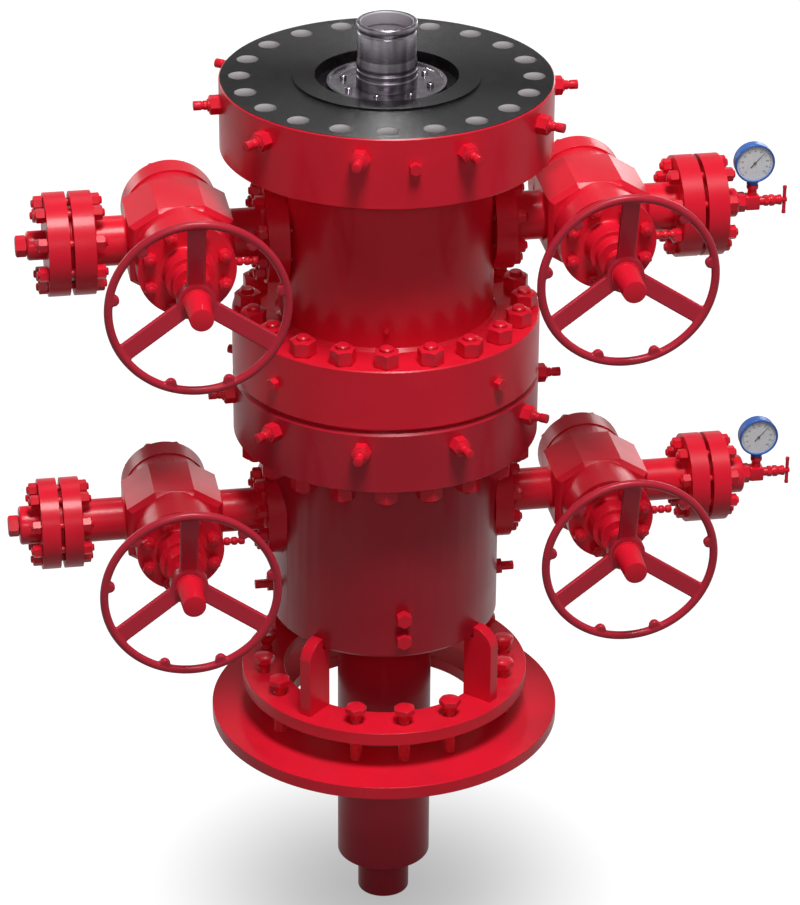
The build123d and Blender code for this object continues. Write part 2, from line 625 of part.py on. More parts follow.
def blind_start(size, side):
    """Inner face of the blind flange."""
    return side * (size.flat + size.length + 2 * RAISED_FACE_HEIGHT)


def blind_end(size, side):
    """Outer face of the blind flange."""
    return blind_start(size, side) + side * size.flange_thickness


def blind_flange(size, side):
    """Drilled end flange bolted to the valve."""
    start = blind_start(size, side)
    flange = rod(size.flange_radius, (start, 0, size.level), (side, 0, 0), size.flange_thickness)
    flange = flange + rod(raised_face_radius(size), (start, 0, size.level), (-side, 0, 0),
                          RAISED_FACE_HEIGHT)
    for point in stud_points(size.circle, OUTLET_STUD_COUNT):
        flange = flange - rod(size.stud + HOLE_CLEARANCE, (start, point[0], size.level + point[1]),
                              (side, 0, 0), size.flange_thickness)
    return flange


def handwheel(size, side):
    """Dished wheel: tube rim, three flat spokes, hub and six grip lugs."""
    centreline = WHEEL_RADIUS - RIM_TUBE_RADIUS
    rim = Torus(centreline, RIM_TUBE_RADIUS).rotate(Axis.X, 90).moved(Location((0, -size.reach, 0)))
    hub = rod(WHEEL_HUB_RADIUS, (0, -hub_back(size), 0), (0, -1, 0), WHEEL_HUB_LENGTH)
    bore = rod(SPINDLE_RADIUS + RUNNING_GAP, (0, -hub_back(size), 0), (0, -1, 0), HUB_BORE_DEPTH)
    start = (0, -(size.reach - WHEEL_DISH - SPOKE_THICKNESS), WHEEL_HUB_RADIUS / 2)
    end = (0, -size.reach, centreline)
    path = Vector(*end) - Vector(*start)
    plane = Plane(origin=start, x_dir=(1, 0, 0), z_dir=path.normalized())
    spoke = extrude(plane * Rectangle(SPOKE_WIDTH, SPOKE_THICKNESS), path.length)
    lug = rod(LUG_RADIUS, (0, -size.reach - LUG_THICKNESS / 2, centreline - RIM_TUBE_RADIUS), (0, 1, 0),
              LUG_THICKNESS)
    spokes = []
    lugs = []
    step = 360 / SPOKE_COUNT
    for i in range(SPOKE_COUNT):
        spokes.append(spoke.rotate(Axis.Y, i * step))
        for lug_number in range(1, LUGS_PER_GAP + 1):
            lugs.append(lug.rotate(Axis.Y, (i + lug_number / (LUGS_PER_GAP + 1)) * step))
    wheel = rim.fuse(hub, *spokes, *lugs) - bore
    return wheel.moved(Location((valve_centre(size, side), 0, size.level)))


def stem_protector(size, side):
    """Slightly tapered cap that covers the stem in front of the wheel."""
    root = -(size.reach - WHEEL_DISH)
    length = WHEEL_DISH + PROTECTOR_STAND
    profile = Plane(origin=(0, root, 0), z_dir=(0, -1, 0)) * Circle(PROTECTOR_ROOT_RADIUS)
    tip = Plane(origin=(0, root - length, 0), z_dir=(0, -1, 0)) * Circle(PROTECTOR_RADIUS)
    cap = loft([profile, tip])
    return cap.moved(Location((valve_centre(size, side), 0, size.level)))


def end_plug(size, side):
    """Hexagon plug in the blind flange, on a collar or a boss."""
    start = blind_end(size, side)
    radius = END_BOSS_RADIUS if size is LOWER else END_COLLAR_RADIUS
    length = END_BOSS_LENGTH if size is LOWER else END_COLLAR_LENGTH
    collar = rod(radius, (start, 0, size.level), (side, 0, 0), length)
    return collar + hexagon(END_PLUG_FLATS, (start + side * length, 0, size.level), (side, 0, 0),
                            END_PLUG_LENGTH)


def needle_valve(size, side):
    """Union, tee and valve body on the blind flange."""
    start = blind_end(size, side)
    radius = END_BOSS_RADIUS if size is LOWER else END_COLLAR_RADIUS
    length = END_BOSS_LENGTH if size is LOWER else END_COLLAR_LENGTH
    valve = rod(radius, (start, 0, size.level), (side, 0, 0), length)
    x = start + side * length
    valve = valve + hexagon(UNION_FLATS, (x, 0, size.level), (side, 0, 0), UNION_LENGTH)
    x = x + side * UNION_LENGTH
    tee = Box(TEE_SIZE, TEE_SIZE, TEE_SIZE).moved(Location((x + side * TEE_SIZE / 2, 0, size.level)))
    valve = valve + tee
    valve = valve + rod(GAUGE_STEM_RADIUS, (x + side * TEE_SIZE / 2, 0, size.level), (0, 0, 1),
                        TEE_SIZE / 2 + TEE_ARM_LENGTH)
    x = x + side * TEE_SIZE
    valve = valve + rod(TEE_ARM_RADIUS, (x, 0, size.level), (side, 0, 0), TEE_ARM_LENGTH)
    x = x + side * TEE_ARM_LENGTH
    valve = valve + rod(NEEDLE_BODY_RADIUS, (x, 0, size.level), (side, 0, 0), NEEDLE_BODY_LENGTH)
    mouth = (x + side * NEEDLE_BODY_LENGTH, 0, size.level)
    return valve - rod(NEEDLE_STEM_RADIUS + RUNNING_GAP, mouth, (-side, 0, 0), NEEDLE_SOCKET_DEPTH)


def gauge_centre(size, side):
    """Axis of the gauge stem."""
    length = END_BOSS_LENGTH if size is LOWER else END_COLLAR_LENGTH
    return blind_end(size, side) + side * (length + UNION_LENGTH + TEE_SIZE / 2)


def pressure_gauge(size, side):
    """Round gauge on the tee, facing the front."""
    x = gauge_centre(size, side)
    foot = size.level + TEE_SIZE / 2 + TEE_ARM_LENGTH
    centre = foot + GAUGE_STEM_LENGTH - GAUGE_STEM_LAP + GAUGE_RADIUS
    case = rod(GAUGE_RADIUS, (x, -GAUGE_DEPTH / 2, centre), (0, 1, 0), GAUGE_DEPTH)
    case = case - rod(GAUGE_RADIUS - GAUGE_GLASS_INSET, (x, -GAUGE_DEPTH / 2, centre), (0, 1, 0),
                      GAUGE_GLASS_INSET)
    stem = rod(GAUGE_STEM_RADIUS, (x, 0, foot), (0, 0, 1), GAUGE_STEM_LENGTH)
    return case + stem


def needle_handle(size, side):
    """Small cross bar on the needle valve stem."""
    length = END_BOSS_LENGTH if size is LOWER else END_COLLAR_LENGTH
    x = blind_end(size, side) + side * (length + UNION_LENGTH + TEE_SIZE + TEE_ARM_LENGTH + NEEDLE_BODY_LENGTH)
    root = x - side * (NEEDLE_SOCKET_DEPTH - SEAT_GAP)
    stem = rod(NEEDLE_STEM_RADIUS, (root, 0, size.level), (side, 0, 0), NEEDLE_STEM_LENGTH + NEEDLE_SOCKET_DEPTH)
    bar_x = x + side * (NEEDLE_STEM_LENGTH - HANDLE_STEM_TIP - HANDLE_RADIUS)
    bar = rod(HANDLE_RADIUS, (bar_x, 0, size.level - HANDLE_SPAN / 2), (0, 0, 1), HANDLE_SPAN)
    return stem + bar


def on_rim(shape, radius, level, reach):
    """A fitting that points along +X, trimmed to the cylinder of this radius on the well axis."""
    return shape - rod(radius, (0, 0, level - reach), (0, 0, 1), 2 * reach)


def body_plugs():
    """Bleed valves at the sides and hexagon plugs at the front of the casing head."""
    inside = HEAD_RADIUS - SIDE_VALVE_BASE_LENGTH
    base = hexagon(SIDE_VALVE_FLATS, (inside, 0, SIDE_VALVE_HEIGHT), (1, 0, 0), 2 * SIDE_VALVE_BASE_LENGTH)
    bleed = base + rod(SIDE_VALVE_RADIUS, (HEAD_RADIUS, 0, SIDE_VALVE_HEIGHT), (1, 0, 0),
                       SIDE_VALVE_BASE_LENGTH + SIDE_VALVE_LENGTH)
    pieces = spread(on_rim(bleed, HEAD_RADIUS, SIDE_VALVE_HEIGHT, SIDE_VALVE_FLATS), 2)
    for level in (FRONT_PLUG_HEIGHT, FRONT_PLUG_HEIGHT - FRONT_PLUG_SPACING):
        plug = hexagon(PLUG_FLATS, (HEAD_RADIUS - PLUG_LENGTH, 0, level), (1, 0, 0), 2 * PLUG_LENGTH)
        pieces.append(on_rim(plug, HEAD_RADIUS, level, PLUG_FLATS).rotate(Axis.Z, FRONT_ANGLE))
    return pieces


def test_ports():
    """Hexagon test plugs on the flange rims and the grease nipple on the spool barrel."""
    pieces = []
    top = TOP_LEVEL - TOP_TEST_PORT_DEPTH
    port = hexagon(TEST_PORT_FLATS, (TOP_FLANGE_RADIUS - TEST_PORT_LENGTH, 0, top), (1, 0, 0),
                   2 * TEST_PORT_LENGTH)
    pieces.append(on_rim(port, TOP_FLANGE_RADIUS, top, TEST_PORT_FLATS).rotate(Axis.Z, FRONT_ANGLE))
    level = JOINT_LEVEL + SPOOL_TEST_PORT_HEIGHT
    port = hexagon(TEST_PORT_FLATS, (MIDDLE_FLANGE_RADIUS - TEST_PORT_LENGTH, 0, level), (1, 0, 0),
                   2 * TEST_PORT_LENGTH)
    pieces = pieces + spread(on_rim(port, MIDDLE_FLANGE_RADIUS, level, TEST_PORT_FLATS),
                             SPOOL_TEST_PORT_COUNT, SPOOL_TEST_PORT_ANGLE)
    nipple = extrude(Plane(origin=(SPOOL_RADIUS, 0, SPOOL_FLANGE_TOP + NIPPLE_HEIGHT), z_dir=(1, 0, 0))
                     * Circle(NIPPLE_TIP_RADIUS), NIPPLE_LENGTH)
    nipple = nipple + rod(NIPPLE_RADIUS, (SPOOL_RADIUS - NIPPLE_RADIUS, 0, SPOOL_FLANGE_TOP + NIPPLE_HEIGHT),
                          (1, 0, 0), NIPPLE_RADIUS + NIPPLE_LENGTH / 2)
    nipple = on_rim(nipple, SPOOL_RADIUS, SPOOL_FLANGE_TOP + NIPPLE_HEIGHT, 2 * NIPPLE_RADIUS)
    return pieces + [nipple.rotate(Axis.Z, NIPPLE_ANGLE)]


def grease_fittings():
    """Beaded grease fitting on the right of each front bonnet."""
    pieces = []
    for size in (UPPER, LOWER):
        y = -(size.depth / 2 + COLLAR_LENGTH + BONNET_THICKNESS / 2)
        root = size.bonnet - GREASE_STEM_RADIUS
        fitting = rod(GREASE_STEM_RADIUS, (root, y, 0), (1, 0, 0), GREASE_STEM_RADIUS + GREASE_STEM_LENGTH)
        pitch = GREASE_STEM_LENGTH / GREASE_BEAD_COUNT
        for i in range(GREASE_BEAD_COUNT):
            start = size.bonnet + (i + 1) * pitch - GREASE_BEAD_LENGTH
            fitting = fitting + rod(GREASE_BEAD_RADIUS, (start, y, 0), (1, 0, 0), GREASE_BEAD_LENGTH)
        rim = rod(size.bonnet, (0, y - GREASE_BEAD_RADIUS, 0), (0, 1, 0), 2 * GREASE_BEAD_RADIUS)
        for side in (-1, 1):
            pieces.append((fitting - rim).moved(Location((valve_centre(size, side), 0, size.level))))
    return pieces


def build():
    """Write every node."""
    save("outer_casing", outer_casing())
    save("inner_casing", inner_casing())
    save("base_plate", base_plate())
    save("landing_ring", landing_ring())
    save("landing_gussets", landing_gussets())
    save("landing_bolts", landing_bolts())
    save("casing_head", casing_head())
    save("casing_spool", casing_spool())
    save("middle_studs", middle_studs())
    save("casing_hanger", casing_hanger())
    save("hanger_neck", hanger_neck())
    save("hanger_screws", hanger_screws())
    save("lock_screws", lock_screws())
    save("body_plugs", body_plugs())
    save("test_ports", test_ports())
    save("grease_fittings", grease_fittings())
    for row, size in (("upper", UPPER), ("lower", LOWER)):
        for way, side in (("left", -1), ("right", 1)):
            name = f"{row}_{way}"
            save(f"{name}_valve_body", valve_body(size, side))
            save(f"{name}_bonnets", bonnets(size, side))
            save(f"{name}_studs", valve_studs(size, side))
            save(f"{name}_blind_flange", blind_flange(size, side))
            save(f"{name}_handwheel", handwheel(size, side))
            save(f"{name}_stem_protector", stem_protector(size, side))
        save(f"{row}_end_plug", end_plug(size, -1))
        save(f"{row}_needle_valve", needle_valve(size, 1))
        save(f"{row}_pressure_gauge", pressure_gauge(size, 1))
        save(f"{row}_needle_handle", needle_handle(size, 1))


build()
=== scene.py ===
import logging
import math
from dataclasses import dataclass
from enum import Enum
from functools import cached_property
from typing import Iterable, Optional, Sequence, Union

import bmesh
import bpy
from mathutils import Matrix, Vector


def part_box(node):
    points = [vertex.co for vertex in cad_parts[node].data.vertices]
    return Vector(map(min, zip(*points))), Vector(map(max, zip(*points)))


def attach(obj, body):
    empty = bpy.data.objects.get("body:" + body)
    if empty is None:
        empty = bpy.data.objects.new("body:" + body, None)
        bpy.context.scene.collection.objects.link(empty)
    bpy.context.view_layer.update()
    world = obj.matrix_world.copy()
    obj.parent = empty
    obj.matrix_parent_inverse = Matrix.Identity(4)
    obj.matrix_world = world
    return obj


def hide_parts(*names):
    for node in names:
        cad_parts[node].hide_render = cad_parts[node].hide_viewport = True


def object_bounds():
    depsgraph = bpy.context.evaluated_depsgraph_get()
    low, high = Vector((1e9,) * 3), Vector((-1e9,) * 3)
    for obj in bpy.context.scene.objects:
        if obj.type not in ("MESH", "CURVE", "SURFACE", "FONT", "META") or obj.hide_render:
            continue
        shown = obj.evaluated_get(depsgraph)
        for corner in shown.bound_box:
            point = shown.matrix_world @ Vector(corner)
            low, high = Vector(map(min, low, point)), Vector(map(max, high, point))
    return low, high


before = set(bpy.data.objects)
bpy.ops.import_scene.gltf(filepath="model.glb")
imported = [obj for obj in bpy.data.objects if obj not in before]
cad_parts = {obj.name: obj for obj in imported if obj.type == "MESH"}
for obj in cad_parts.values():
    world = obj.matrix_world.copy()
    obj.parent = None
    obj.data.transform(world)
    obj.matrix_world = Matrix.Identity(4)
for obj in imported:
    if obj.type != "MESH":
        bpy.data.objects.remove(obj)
CAD_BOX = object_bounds()

logging.basicConfig(level=logging.INFO, format="%(name)s: %(message)s")
LOG = logging.getLogger("wellhead")

Point = tuple[float, float, float]
Colour = tuple[float, float, float]
Outline = Sequence[tuple[float, float]]
Solid = bmesh.types.BMesh
Mesh = bpy.types.Mesh
STACK = "stack"


class Slot(Enum):
    """Material slots of the record."""

    RED = "red_paint"
    WHEEL = "wheel_paint"
    BLUE = "blue_paint"
    STEEL = "machined_steel"


class Row(Enum):
    """Level of a pair of side branches."""

    UPPER = "upper"
    LOWER = "lower"


class Side(Enum):
    """Side of the well that a branch points to, with its sign along X."""

    LEFT = -1
    RIGHT = 1


class Signal:
    """An output socket of a node tree that takes part in Python expressions."""

    def __init__(self, nodes: "NodeBuilder", socket: bpy.types.NodeSocket) -> None:
        """Wraps one output of the tree that the builder works on."""
        self.nodes = nodes
        self.socket = socket

    def apply(self, operation: str, other: "Feed" = 0.0, swapped: bool = False) -> "Signal":
        """Applies a Math operation to this value and another, which comes first where swapped."""
        pair = (other, self) if swapped else (self, other)
        return self.nodes.add("ShaderNodeMath", {"operation": operation}, dict(enumerate(pair)))

    def hypot(self, other: "Signal") -> "Signal":
        """Length of the vector that has this value and another as its parts."""
        return (self * self + other * other).apply("SQRT")

    def __add__(self, other: "Feed") -> "Signal":
        """Sum."""
        return self.apply("ADD", other)

    def __radd__(self, other: "Feed") -> "Signal":
        """Sum with a number on the left."""
        return self.apply("ADD", other, True)

    def __sub__(self, other: "Feed") -> "Signal":
        """Difference."""
        return self.apply("SUBTRACT", other)

    def __rsub__(self, other: "Feed") -> "Signal":
        """Difference from a number on the left."""
        return self.apply("SUBTRACT", other, True)

    def __mul__(self, other: "Feed") -> "Signal":
        """Product."""
        return self.apply("MULTIPLY", other)

    def __rmul__(self, other: "Feed") -> "Signal":
        """Product with a number on the left."""
        return self.apply("MULTIPLY", other, True)

    def __gt__(self, other: "Feed") -> "Signal":
        """One where this value is the larger."""
        return self.apply("GREATER_THAN", other)

    def __lt__(self, other: "Feed") -> "Signal":
        """One where this value is the smaller."""
        return self.apply("LESS_THAN", other)


Feed = Union[float, int, str, tuple, bpy.types.ID, Signal]


class NodeBuilder:
    """A node tree under construction."""

    def __init__(self, tree: bpy.types.NodeTree) -> None:
        """Takes a tree and empties it."""
        self.tree = tree
        tree.nodes.clear()

    def add(self, kind: str, settings: Optional[dict] = None, inputs: Optional[dict] = None,
            output: Union[int, str] = 0) -> Optional[Signal]:
        """Adds any node.

        Args:
            kind: the node's type.
            settings: its properties, which are set first.
            inputs: signals, numbers, colours or vectors by input name or index.
            output: the output that is returned.

        Returns:
            The chosen output, or None for a node that closes the tree.
        """
        node = self.tree.nodes.new(kind)
        for name, value in (settings or {}).items():
            setattr(node, name, value)
        for name, value in (inputs or {}).items():
            socket = node.inputs[name]
            if isinstance(value, Signal):
                self.tree.links.new(value.socket, socket)
            elif isinstance(value, tuple) and socket.type == "RGBA":
                socket.default_value = (*value, 1.0)
            else:
                socket.default_value = value
        return Signal(self, node.outputs[output]) if len(node.outputs) else None

    def span(self, value: Signal, low: float, high: float, to_low: float, to_high: float,
             curve: str = "LINEAR") -> Signal:
        """Maps the range from low to high of a value onto another range, without leaving it."""
        return self.add("ShaderNodeMapRange", {"interpolation_type": curve}, {
            "Value": value, "From Min": low, "From Max": high, "To Min": to_low, "To Max": to_high})


class Recipe(NodeBuilder):
    """One material under construction, on the object's own coordinates."""

    def __init__(self, name: str) -> None:
        """Starts an empty material.

        Args:
            name: the material's name.
        """
        self.material = bpy.data.materials.new(name)
        self.material.use_nodes = True
        super().__init__(self.material.node_tree)
        self.place = self.add("ShaderNodeTexCoord", output="Object")

    def noise(self, scale: float, detail: float = 3.0, stretch: Point = (1.0, 1.0, 1.0)) -> Signal:
        """Adds noise on the object's own place, with so many features per metre, from 0 to 1."""
        where = self.add("ShaderNodeMapping", inputs={"Vector": self.place, "Scale": stretch})
        return self.add("ShaderNodeTexNoise", inputs={"Vector": where, "Scale": scale, "Detail": detail})

    def blend(self, share: Feed, first: Feed, second: Feed) -> Signal:
        """Mixes two colours, where the share says how much of the second one shows."""
        return self.add("ShaderNodeMix", {"data_type": "RGBA"}, {0: share, 6: first, 7: second}, output=2)

    def axes(self) -> tuple[Signal, Signal, Signal]:
        """The object's X, Y and Z as three signals."""
        split = self.add("ShaderNodeSeparateXYZ", inputs={0: self.place})
        return tuple(Signal(self, output) for output in split.socket.node.outputs)

    def bump(self, height: Signal, strength: float, distance: float) -> Signal:
        """Turns a height into a normal, with the distance in metres for a full step."""
        return self.add("ShaderNodeBump", inputs={"Height": height, "Strength": strength,
                                                  "Distance": distance})

    def close(self, **inputs: Feed) -> bpy.types.Material:
        """Adds the closing shader. Its inputs have underscores for the spaces of their names."""
        named = {name.replace("_", " "): value for name, value in inputs.items()}
        return self.finish(self.add("ShaderNodeBsdfPrincipled", inputs=named))

    def finish(self, shader: Signal) -> bpy.types.Material:
        """Links a shader to the material's output and gives the finished material."""
        self.add("ShaderNodeOutputMaterial", inputs={"Surface": shader})
        return self.material


@dataclass(frozen=True)
class GlossPaint:
    """Thick gloss paint over cast or turned steel."""

    name: str
    colour: Colour
    shade: Colour
    grain: float = 420.0
    relief: float = 0.00012
    roughness: float = 0.32
    coat: float = 0.10
    coat_roughness: float = 0.14
    mirror_level: float = 0.20
    cloud_scale: float = 5.0
    speck_scale: float = 900.0
    bump_strength: float = 0.55

    def surface(self, recipe: Recipe) -> tuple[Signal, Signal, Signal]:
        """Adds the texture that all paints share.

        Args:
            recipe: the material.

        Returns:
            The cloudy share of the shade colour, the uneven roughness and the height of the orange peel.
        """
        clouds = recipe.noise(self.cloud_scale, 4.0)
        peel = recipe.noise(self.grain, 2.0)
        shade = recipe.span(clouds, 0.32, 0.72, 0.0, 0.55)
        gloss = recipe.span(clouds, 0.3, 0.7, self.roughness - 0.05, self.roughness + 0.08)
        return shade, gloss, peel + 0.4 * clouds

    def make(self) -> bpy.types.Material:
        """Builds the paint.

        Returns:
            The material, with cloudy shade, faint specks, orange peel and uneven gloss.
        """
        recipe = Recipe(self.name)
        shade, gloss, height = self.surface(recipe)
        specks = recipe.span(recipe.noise(self.speck_scale, 1.0), 0.62, 0.78, 0.0, 0.18)
        return recipe.close(Base_Color=recipe.blend(shade + specks, self.colour, self.shade),
                            Roughness=gloss, Coat_Weight=self.coat, Coat_Roughness=self.coat_roughness,
                            Specular_IOR_Level=self.mirror_level,
                            Normal=recipe.bump(height, self.bump_strength, self.relief))


@dataclass(frozen=True)
class TurnedSteel:
    """Bare steel from the lathe, with fine rings across its axis, upright bands of painted reflection and a
    pale dull bore.
    """

    name: str
    colour: Colour
    shade: Colour
    roughness: float = 0.24
    bore_radius: float = 0.0
    bore_colour: Colour = (0.52, 0.48, 0.52)
    ring_scale: float = 900.0
    stain_and_painted_streak_scale: float = 22.0
    relief: float = 0.00006

    def make(self) -> bpy.types.Material:
        """Builds the metal.

        Returns:
            The material, with turning marks, upright bands of painted reflection and a dull bore.
        """
        recipe = Recipe(self.name)
        rings = recipe.noise(1.0, 2.0, (2.0, 2.0, self.ring_scale))
        # painted reflection: upright bands that blend the steel between its colour and its dark shade stand
        # in for reflected streaks
        stains_and_painted_streaks = recipe.noise(self.stain_and_painted_streak_scale, 2.0, (1.0, 1.0, 0.12))
        x, y, _ = recipe.axes()
        bore = x.hypot(y) < self.bore_radius
        steel = recipe.blend(recipe.span(stains_and_painted_streaks, 0.36, 0.64, 0.0, 1.0), self.colour, self.shade)
        gloss = recipe.span(rings + 0.6 * stains_and_painted_streaks, 0.5, 1.1, self.roughness - 0.07, self.roughness + 0.1)
        return recipe.close(Base_Color=recipe.blend(bore, steel, self.bore_colour),
                            Metallic=1.0 - 0.8 * bore, Roughness=gloss + 0.2 * bore,
                            Normal=recipe.bump(rings, 0.35, self.relief))


@dataclass(frozen=True)
class SpoolPaint(GlossPaint):
    """Gloss paint with a dark machined top face and light drilled holes, with painted shade down their walls.
    """

    top: float = 1.673
    flange_thickness: float = 0.169
    hole_circle: float = 0.33655
    hole_radius: float = 0.0254
    hole_count: int = 20
    bowl_radius: float = 0.167
    lathe_pitch: float = 0.0045
    groove_height: float = 2.0
    edge: float = 0.0006
    stain_and_painted_streak_scale: float = 60.0
    # depths below the top over which painted shade darkens the hole walls
    painted_shade_depth: float = 0.024
    painted_shade_start: float = 0.004
    dark: Colour = (0.006, 0.005, 0.006)
    worn: Colour = (0.014, 0.012, 0.013)
    bright: Colour = (0.80, 0.76, 0.77)
    # dark colour of the painted shade deep in the holes
    hole_painted_shade: Colour = (0.20, 0.17, 0.18)

    def make(self) -> bpy.types.Material:
        """Builds the paint and the bare top.

        Returns:
            The material: red sides, charcoal top face, light hole walls with painted shade that deepens with
                depth.
        """
        recipe = Recipe(self.name)
        shade, gloss, height = self.surface(recipe)
        x, y, z = recipe.axes()
        radius = x.hypot(y)
        on_top = z > self.top - self.edge
        hole = self.near_hole(x, y) * (z > self.top - self.flange_thickness - self.edge) * (1.0 - on_top)
        face = on_top.apply("MAXIMUM", radius < self.bowl_radius)
        stains_and_painted_streaks = recipe.span(recipe.noise(self.stain_and_painted_streak_scale, 3.0), 0.35, 0.7, 0.0, 1.0)
        # painted shade: the hole walls go from their light colour to a dark shade with depth below the top
        depth = recipe.span(z, self.top - self.painted_shade_depth, self.top - self.painted_shade_start, 1.0, 0.0)
        wall = recipe.blend(depth, self.bright, self.hole_painted_shade)
        painted = recipe.blend(shade, self.colour, self.shade)
        bare = recipe.blend(stains_and_painted_streaks, self.dark, self.worn)
        grooves = (radius * (math.tau / self.lathe_pitch)).apply("SINE") * face
        return recipe.close(Base_Color=recipe.blend(hole, recipe.blend(face, painted, bare), wall),
                            Roughness=gloss - 0.14 * face, Coat_Weight=self.coat * (1.0 - face),
                            Coat_Roughness=self.coat_roughness, Specular_IOR_Level=self.mirror_level,
                            Normal=recipe.bump(height + self.groove_height * grooves,
                                               self.bump_strength, self.relief))

    def near_hole(self, x: Signal, y: Signal) -> Signal:
        """Finds the drilled holes.

        Args:
            x: place along X.
            y: place along Y.

        Returns:
            One inside any of the holes.
        """
        radius = x.hypot(y)
        turn = y.apply("ARCTAN2", x) * (self.hole_count / math.tau)
        across = ((turn + self.hole_count).apply("FRACT") - 0.5) * (math.tau / self.hole_count)
        along = radius * across.apply("COSINE") - self.hole_circle
        return along.hypot(radius * across.apply("SINE")) < self.hole_radius + self.edge


@dataclass(frozen=True)
class FlatFinish:
    """Simple finish with a fine grain, for dial parts."""

    name: str
    colour: Colour
    shade: Colour
    roughness: float = 0.4
    grain: float = 300.0
    relief: float = 0.00004

    def make(self) -> bpy.types.Material:
        """Builds the finish.

        Returns:
            The material.
        """
        recipe = Recipe(self.name)
        grain = recipe.noise(self.grain, 2.0)
        colour = recipe.blend(recipe.span(grain, 0.35, 0.7, 0.0, 0.4), self.colour, self.shade)
        gloss = recipe.span(grain, 0.3, 0.7, self.roughness - 0.04, self.roughness + 0.06)
        return recipe.close(Base_Color=colour, Roughness=gloss, Normal=recipe.bump(grain, 0.2, self.relief))


@dataclass(frozen=True)
class DialGlass:
    """Clear window of a gauge."""

    name: str
    tint: Colour = (0.9, 0.93, 0.95)
    smear_scale: float = 60.0

    def make(self) -> bpy.types.Material:
        """Builds the glass.

        Returns:
            The material, with faint smears in its gloss.
        """
        recipe = Recipe(self.name)
        smears = recipe.noise(self.smear_scale, 3.0)
        return recipe.close(Base_Color=self.tint, Alpha=recipe.span(smears, 0.4, 0.8, 0.06, 0.10),
                            Roughness=recipe.span(smears, 0.4, 0.8, 0.03, 0.09))


RED = (0.80, 0.011, 0.032)
RED_SHADE = (0.62, 0.008, 0.026)


class Finish(Enum):
    """All finishes of the wellhead."""

    BODY_RED = GlossPaint("body_red", RED, RED_SHADE)
    # darker copy of the body red: painted shade on the casing head and the casing pipes
    DEEP_RED = GlossPaint("deep_red", (0.52, 0.010, 0.028), (0.40, 0.008, 0.022))
    CAST_RED = GlossPaint("cast_red", RED, RED_SHADE, grain=260.0, relief=0.0003)
    WHEEL_RED = GlossPaint("wheel_red", (0.52, 0.018, 0.040), (0.40, 0.014, 0.032), relief=0.0002,
                           roughness=0.38, coat=0.15)
    SPOOL_RED = SpoolPaint("spool_red", RED, RED_SHADE)
    # both steels carry upright bands of painted reflection between their colour and shade
    NECK_STEEL = TurnedSteel("neck_steel", (0.46, 0.42, 0.47), (0.10, 0.085, 0.10), 0.28, 0.0612)
    HANGER_STEEL = TurnedSteel("hanger_steel", (0.54, 0.50, 0.55), (0.26, 0.23, 0.26), 0.2)
    GAUGE_BLUE = GlossPaint("gauge_blue", (0.05, 0.17, 0.58), (0.03, 0.09, 0.36))
    DIAL_WHITE = FlatFinish("dial_white", (0.84, 0.86, 0.88), (0.76, 0.78, 0.80))
    INK = FlatFinish("dial_ink", (0.02, 0.02, 0.025), (0.04, 0.04, 0.05))
    GLASS = DialGlass("dial_glass")

    @cached_property
    def material(self) -> bpy.types.Material:
        """The finish's material, which is made once."""
        return self.value.make()


def facing(axis: Point, spot: Point = (0.0, 0.0, 0.0)) -> Matrix:
    """Placement that turns local Z to an axis and moves the origin to a spot."""
    return Matrix.Translation(Vector(spot)) @ Vector(axis).to_track_quat("Z", "Y").to_matrix().to_4x4()


def at(height: float) -> Matrix:
    """Placement at a height along Z."""
    return Matrix.Translation((0.0, 0.0, height))


def turn_to(place: Matrix, direction: Point) -> float:
    """Angle in degrees at which a direction of the row frame lies in a placement's XY plane."""
    local = place.to_3x3().inverted() @ Vector(direction)
    return math.degrees(math.atan2(local.y, local.x))


def put_in_scene(name: str, data: bpy.types.ID) -> bpy.types.Object:
    """Puts a new object with the given data into the scene.

    Args:
        name: the object's name.
        data: its mesh, curve, lamp or camera.

    Returns:
        The object.
    """
    thing = bpy.data.objects.new(name, data)
    bpy.context.scene.collection.objects.link(thing)
    return thing


def new_piece(name: str, shape: Union[Solid, Mesh], finish: Finish,
              replaces: Sequence[str] = (), slot: Slot = Slot.RED, body: str = STACK) -> bpy.types.Object:
    """Puts a finished shape into the scene as a piece of the wellhead.

    Args:
        name: the piece's name.
        shape: its mesh or solid, in the row frame.
        finish: its finish.
        replaces: the nodes that it stands for.
        slot: the record's material slot; not used.
        body: the body that it rides on.

    Returns:
        The new object.
    """
    mesh = mesh_from(shape, name) if isinstance(shape, Solid) else shape
    mesh.materials.clear()
    mesh.materials.append(finish.material)
    mesh.polygons.foreach_set("material_index", [0] * len(mesh.polygons))
    piece = put_in_scene(name, mesh)
    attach(piece, body)
    if replaces:
        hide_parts(*replaces)
    LOG.info("%s: %d faces", name, len(mesh.polygons))
    return piece


def mesh_from(work: Solid, name: str, crease: float = 35.0) -> Mesh:
    """Turns a bmesh into a mesh with smooth faces and sharp creases.

    Args:
        work: the bmesh, which is freed.
        name: the mesh's name.
        crease: edges that turn by more than this many degrees stay sharp.

    Returns:
        The mesh.
    """
    mesh = bpy.data.meshes.new(name)
    work.normal_update()
    work.to_mesh(mesh)
    work.free()
    mesh.shade_smooth()
    mesh.set_sharp_from_angle(angle=math.radians(crease))
    return mesh


